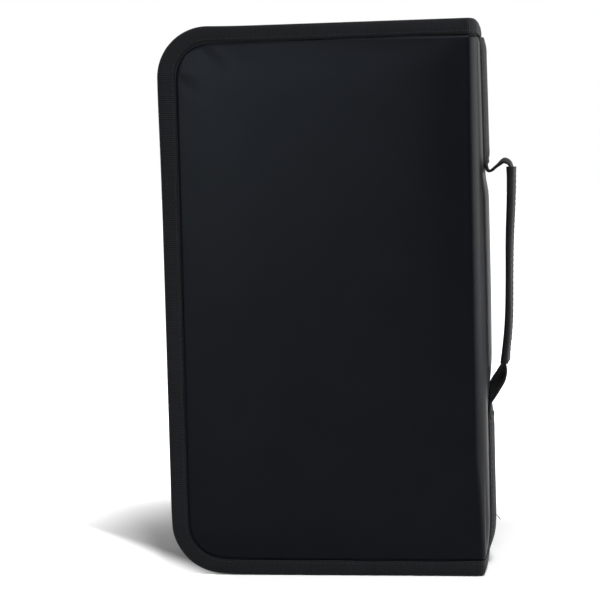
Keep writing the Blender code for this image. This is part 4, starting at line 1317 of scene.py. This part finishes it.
def joined(name, parts):
    with bpy.context.temp_override(active_object=parts[0], selected_editable_objects=parts):
        bpy.ops.object.join()
    parts[0].name = parts[0].data.name = name
    return parts[0]


def pocket_film(number, leaves):
    """A clear pocket on the first page: welded on three sides, open with a thumb notch towards the spine."""
    share, left = leaf_place(leaves - 1, leaves)
    low, high = PAGE_LOW + FILM_MARGIN, PAGE_MIDDLE - 0.0022
    if number == 2:
        low, high = PAGE_MIDDLE + 0.0022, PAGE_HIGH - FILM_MARGIN
    start, end = left + FILM_MARGIN, PAGE_RIGHT - BOUND_MARGIN - 0.002
    grid = []
    for z in evenly(low, high, 72):
        corner = max(0.0, FILM_CORNER - min(z - low, high - z))
        trim = FILM_CORNER - math.sqrt(max(0.0, FILM_CORNER ** 2 - corner ** 2))
        cut = math.sqrt(max(0.0, THUMB_NOTCH ** 2 - (z - (low + high) / 2) ** 2))
        row = []
        for x in evenly(start + trim, end - cut, 40):
            middle, half = leaf_middle(x, z, share, leaves, left)
            row.append(((x, middle - half - 0.00042, z), (x, middle - half - 0.00020, z), (x, z)))
        grid.append(row)
    return slab("pocket_film_%d" % number, grid)


class WALLET_OT_inside(bpy.types.Operator):
    """Make the linings, pages and pockets, and finish the boards, clamp strip and rivets"""
    bl_idname = "wallet.inside"
    bl_label = "Inside"

    def execute(self, context):
        leaves = context.scene.wallet_sizes.leaves
        for side in (FRONT, BACK):
            nodes = [PREFIX[side] + "_cover_lining"] + (["spine_lining"] if side == FRONT else [])
            made = finish_piece(lining(side), MATERIALS["lining"], replaces=nodes)
            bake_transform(made)
        finish_piece(pages(leaves), MATERIALS["page"], "back_cover", ["disc_sleeves"])
        for number in (1, 2):
            finish_piece(pocket_film(number, leaves), MATERIALS["film"], "back_cover")
        small = ["sleeve_clamp_strip"] + ["sleeve_rivet_%d" % k for k in range(1, 7)]
        for node in small:
            finish_piece(copy_of_part(node, 0.0003), MATERIALS["clamp"], "back_cover", [node])
        for node in ("front_cover_board", "back_cover_board", "spine_board"):
            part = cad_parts[node]
            part.data.materials.clear()
            part.data.materials.append(MATERIALS["board"])
        return {"FINISHED"}


# Stage

# The floor: how far it reaches, and where along y its paper starts in front of the case
FLOOR_REACH = 12.0
PAPER_START = (-0.75, -0.55)
# Distances from the middle of the case over which the camera's and the mirrored floor get their full white:
# for the camera this glow is painted light, which paints how the shadow fades
SHADOW_PAINTING_FADE = (0.115, 0.32)
MIRROR_FADE = (0.12, 0.50)
# Directions on the floor in which a glow for the camera paints out the case's shadow, and the distances where
# that begins
SHADOW_PAINTED_OUT_SIDES = (((-0.782, -0.623, 0.0), (0.067, 0.090)), ((1.0, 0.0, 0.0), (0.086, 0.104)))
ROOM_START = (-0.8, 0.1)
WHITE = (1.0, 1.0, 1.0, 1.0)


def paper_material():
    """White paper that keeps the shadow at the case's foot and is plain white farther off. For the camera it
    glows: the glow paints the shadow's fall-off, and on two sides it paints the shadow out.
    """
    paper = Finish("White paper", WHITE[:3], 0.9, Specular_IOR_Level=0.1, Emission_Color=WHITE)
    place = paper.place()
    distance = paper.node("ShaderNodeVectorMath", {0: place}, operation="LENGTH").outputs["Value"]
    # Painted light: the camera sees the floor glow, weak at the case's foot and full farther off, so the glow
    # paints how the shadow fades
    glow_painting_shadow = paper.ramp(distance, SHADOW_PAINTING_FADE, (0.02, 1.0), "SMOOTHSTEP")
    # Painted light: on these sides the glow paints out the shadow that the case casts
    for direction, span in SHADOW_PAINTED_OUT_SIDES:
        beside = paper.node("ShaderNodeVectorMath", {0: place, 1: direction}, operation="DOT_PRODUCT")
        clear = paper.ramp(beside.outputs["Value"], span, kind="SMOOTHSTEP")
        glow_painting_shadow = paper.math("MAXIMUM", glow_painting_shadow, clear)
    laid = paper.ramp(paper.node("ShaderNodeSeparateXYZ", {0: place}).outputs["Y"], PAPER_START)
    paper.set("Base Color", paper.ramp(laid, (0.0, 1.0), (0.05, 0.92)))
    ray = paper.node("ShaderNodeLightPath")
    mirrored = paper.math("MULTIPLY", ray.outputs["Is Glossy Ray"], laid)
    away = paper.ramp(distance, MIRROR_FADE, (0.08, 1.0), "SMOOTHSTEP")
    seen = paper.math("MULTIPLY", ray.outputs["Is Camera Ray"], glow_painting_shadow)
    paper.set("Emission Strength", paper.math("MAXIMUM", seen, paper.math("MULTIPLY", mirrored, away)))
    return paper.material


class WALLET_OT_stage(bpy.types.Operator):
    """Make the white floor, the lamps and the camera"""
    bl_idname = "wallet.stage"
    bl_label = "Stage"

    def execute(self, context):
        scene, stage = context.scene, context.scene.wallet_stage
        scene.view_settings.view_transform = "Standard"
        self.floor()
        self.world(scene, stage)
        self.lamps(stage)
        self.camera(scene, stage)
        return {"FINISHED"}

    def floor(self):
        mesh = bpy.data.meshes.new("floor")
        corners = [(x * FLOOR_REACH, y * FLOOR_REACH, 0.0) for x, y in ((-1, -1), (1, -1), (1, 1), (-1, 1))]
        mesh.from_pydata(corners, [], [(0, 1, 2, 3)])
        mesh.materials.append(paper_material())
        linked("floor", mesh)

    def world(self, scene, stage):
        """Even light on rough cloth, white for the camera, and a darker room in front for what mirrors it."""
        scene.world = bpy.data.worlds.new("Studio")
        scene.world.use_nodes = True
        studio = NodeMaker(scene.world.node_tree)
        studio.tree.nodes.clear()
        ray = studio.node("ShaderNodeLightPath")
        camera, glossy = ray.outputs["Is Camera Ray"], ray.outputs["Is Glossy Ray"]
        place = studio.node("ShaderNodeTexCoord").outputs["Generated"]
        behind = studio.node("ShaderNodeSeparateXYZ", {0: place}).outputs["Y"]
        room = studio.ramp(behind, ROOM_START, (stage.room_strength, 1.0), "SMOOTHSTEP")
        even, white = (
            studio.node("ShaderNodeBackground", {"Color": WHITE, "Strength": strength}).outputs[0]
            for strength in (stage.world_strength, studio.math("MAXIMUM", room, camera)))
        seen = studio.math("MAXIMUM", camera, glossy)
        mix = studio.node("ShaderNodeMixShader", {0: seen, 1: even, 2: white})
        studio.node("ShaderNodeOutputWorld", {0: mix.outputs[0]})

    def lamp(self, name, place, target, size, power, colour=(1.0, 1.0, 1.0)):
        data = bpy.data.lights.new(name, "AREA")
        data.shape = "RECTANGLE"
        data.size, data.size_y = size
        data.energy = power
        data.color = colour
        made = linked(name, data)
        made.location = place
        made.rotation_euler = (Vector(target) - Vector(place)).to_track_quat("-Z", "Y").to_euler()
        return made

    def lamps(self, stage):
        self.lamp("Key", (0.34, -0.70, 1.50), (0.0, 0.0, 0.12), (0.42, 0.42), stage.key_power)
        side = self.lamp("Side panel", (1.20, 0.05, 0.32), (0.05, 0.0, 0.15), (0.9, 0.8), stage.side_power)
        fill = self.lamp("Window panel", (-0.44, -1.25, 0.47), (-0.03, 0.0, 0.18), (0.45, 0.45),
                         stage.fill_power, (0.80, 0.92, 1.0))
        side.visible_diffuse = fill.visible_diffuse = False

    def camera(self, scene, stage):
        data = bpy.data.cameras.new("Camera")
        data.sensor_width = 36.0
        data.lens = stage.lens
        data.shift_y = stage.camera_rise
        data.clip_start, data.clip_end = 0.05, 20.0
        made = linked("Camera", data)
        yaw, pitch, roll = stage.camera_turn
        turn = Euler((math.pi / 2 - pitch, 0.0, yaw), "XYZ").to_matrix() @ Matrix.Rotation(roll, 3, "Z")
        made.matrix_world = Matrix.Translation(stage.camera_place) @ turn.to_4x4()
        scene.camera = made


class WALLET_PT_panel(bpy.types.Panel):
    """The wallet's pieces and settings"""
    bl_label = "Disc Wallet"
    bl_idname = "WALLET_PT_panel"
    bl_space_type = "VIEW_3D"
    bl_region_type = "UI"
    bl_category = "Wallet"

    def draw(self, context):
        layout = self.layout
        for group in (context.scene.wallet_look, context.scene.wallet_sizes, context.scene.wallet_stage):
            box = layout.box()
            for name in group.__annotations__:
                box.prop(group, name)
        for operator in OPERATORS:
            layout.operator(operator.bl_idname)


GROUPS = (WalletLook, WalletSizes, WalletStage)
OPERATORS = (
    WALLET_OT_cover_skins, WALLET_OT_bindings, WALLET_OT_walls, WALLET_OT_zip_rows, WALLET_OT_slider,
    WALLET_OT_handle, WALLET_OT_stitching, WALLET_OT_inside, WALLET_OT_stage,
)


def register():
    for item in (*GROUPS, *OPERATORS, WALLET_PT_panel):
        bpy.utils.register_class(item)
    bpy.types.Scene.wallet_look = PointerProperty(type=WalletLook)
    bpy.types.Scene.wallet_sizes = PointerProperty(type=WalletSizes)
    bpy.types.Scene.wallet_stage = PointerProperty(type=WalletStage)


def unregister():
    for name in ("wallet_look", "wallet_sizes", "wallet_stage"):
        delattr(bpy.types.Scene, name)
    for item in reversed((*GROUPS, *OPERATORS, WALLET_PT_panel)):
        bpy.utils.unregister_class(item)


def main():
    register()
    MATERIALS.update(make_materials(bpy.context.scene.wallet_look))
    bpy.ops.wallet.cover_skins()
    bpy.ops.wallet.bindings()
    bpy.ops.wallet.walls()
    bpy.ops.wallet.zip_rows()
    bpy.ops.wallet.slider()
    bpy.ops.wallet.handle()
    bpy.ops.wallet.stitching()
    bpy.ops.wallet.inside()
    bpy.ops.wallet.stage()


if __name__ == "__main__":
    main()
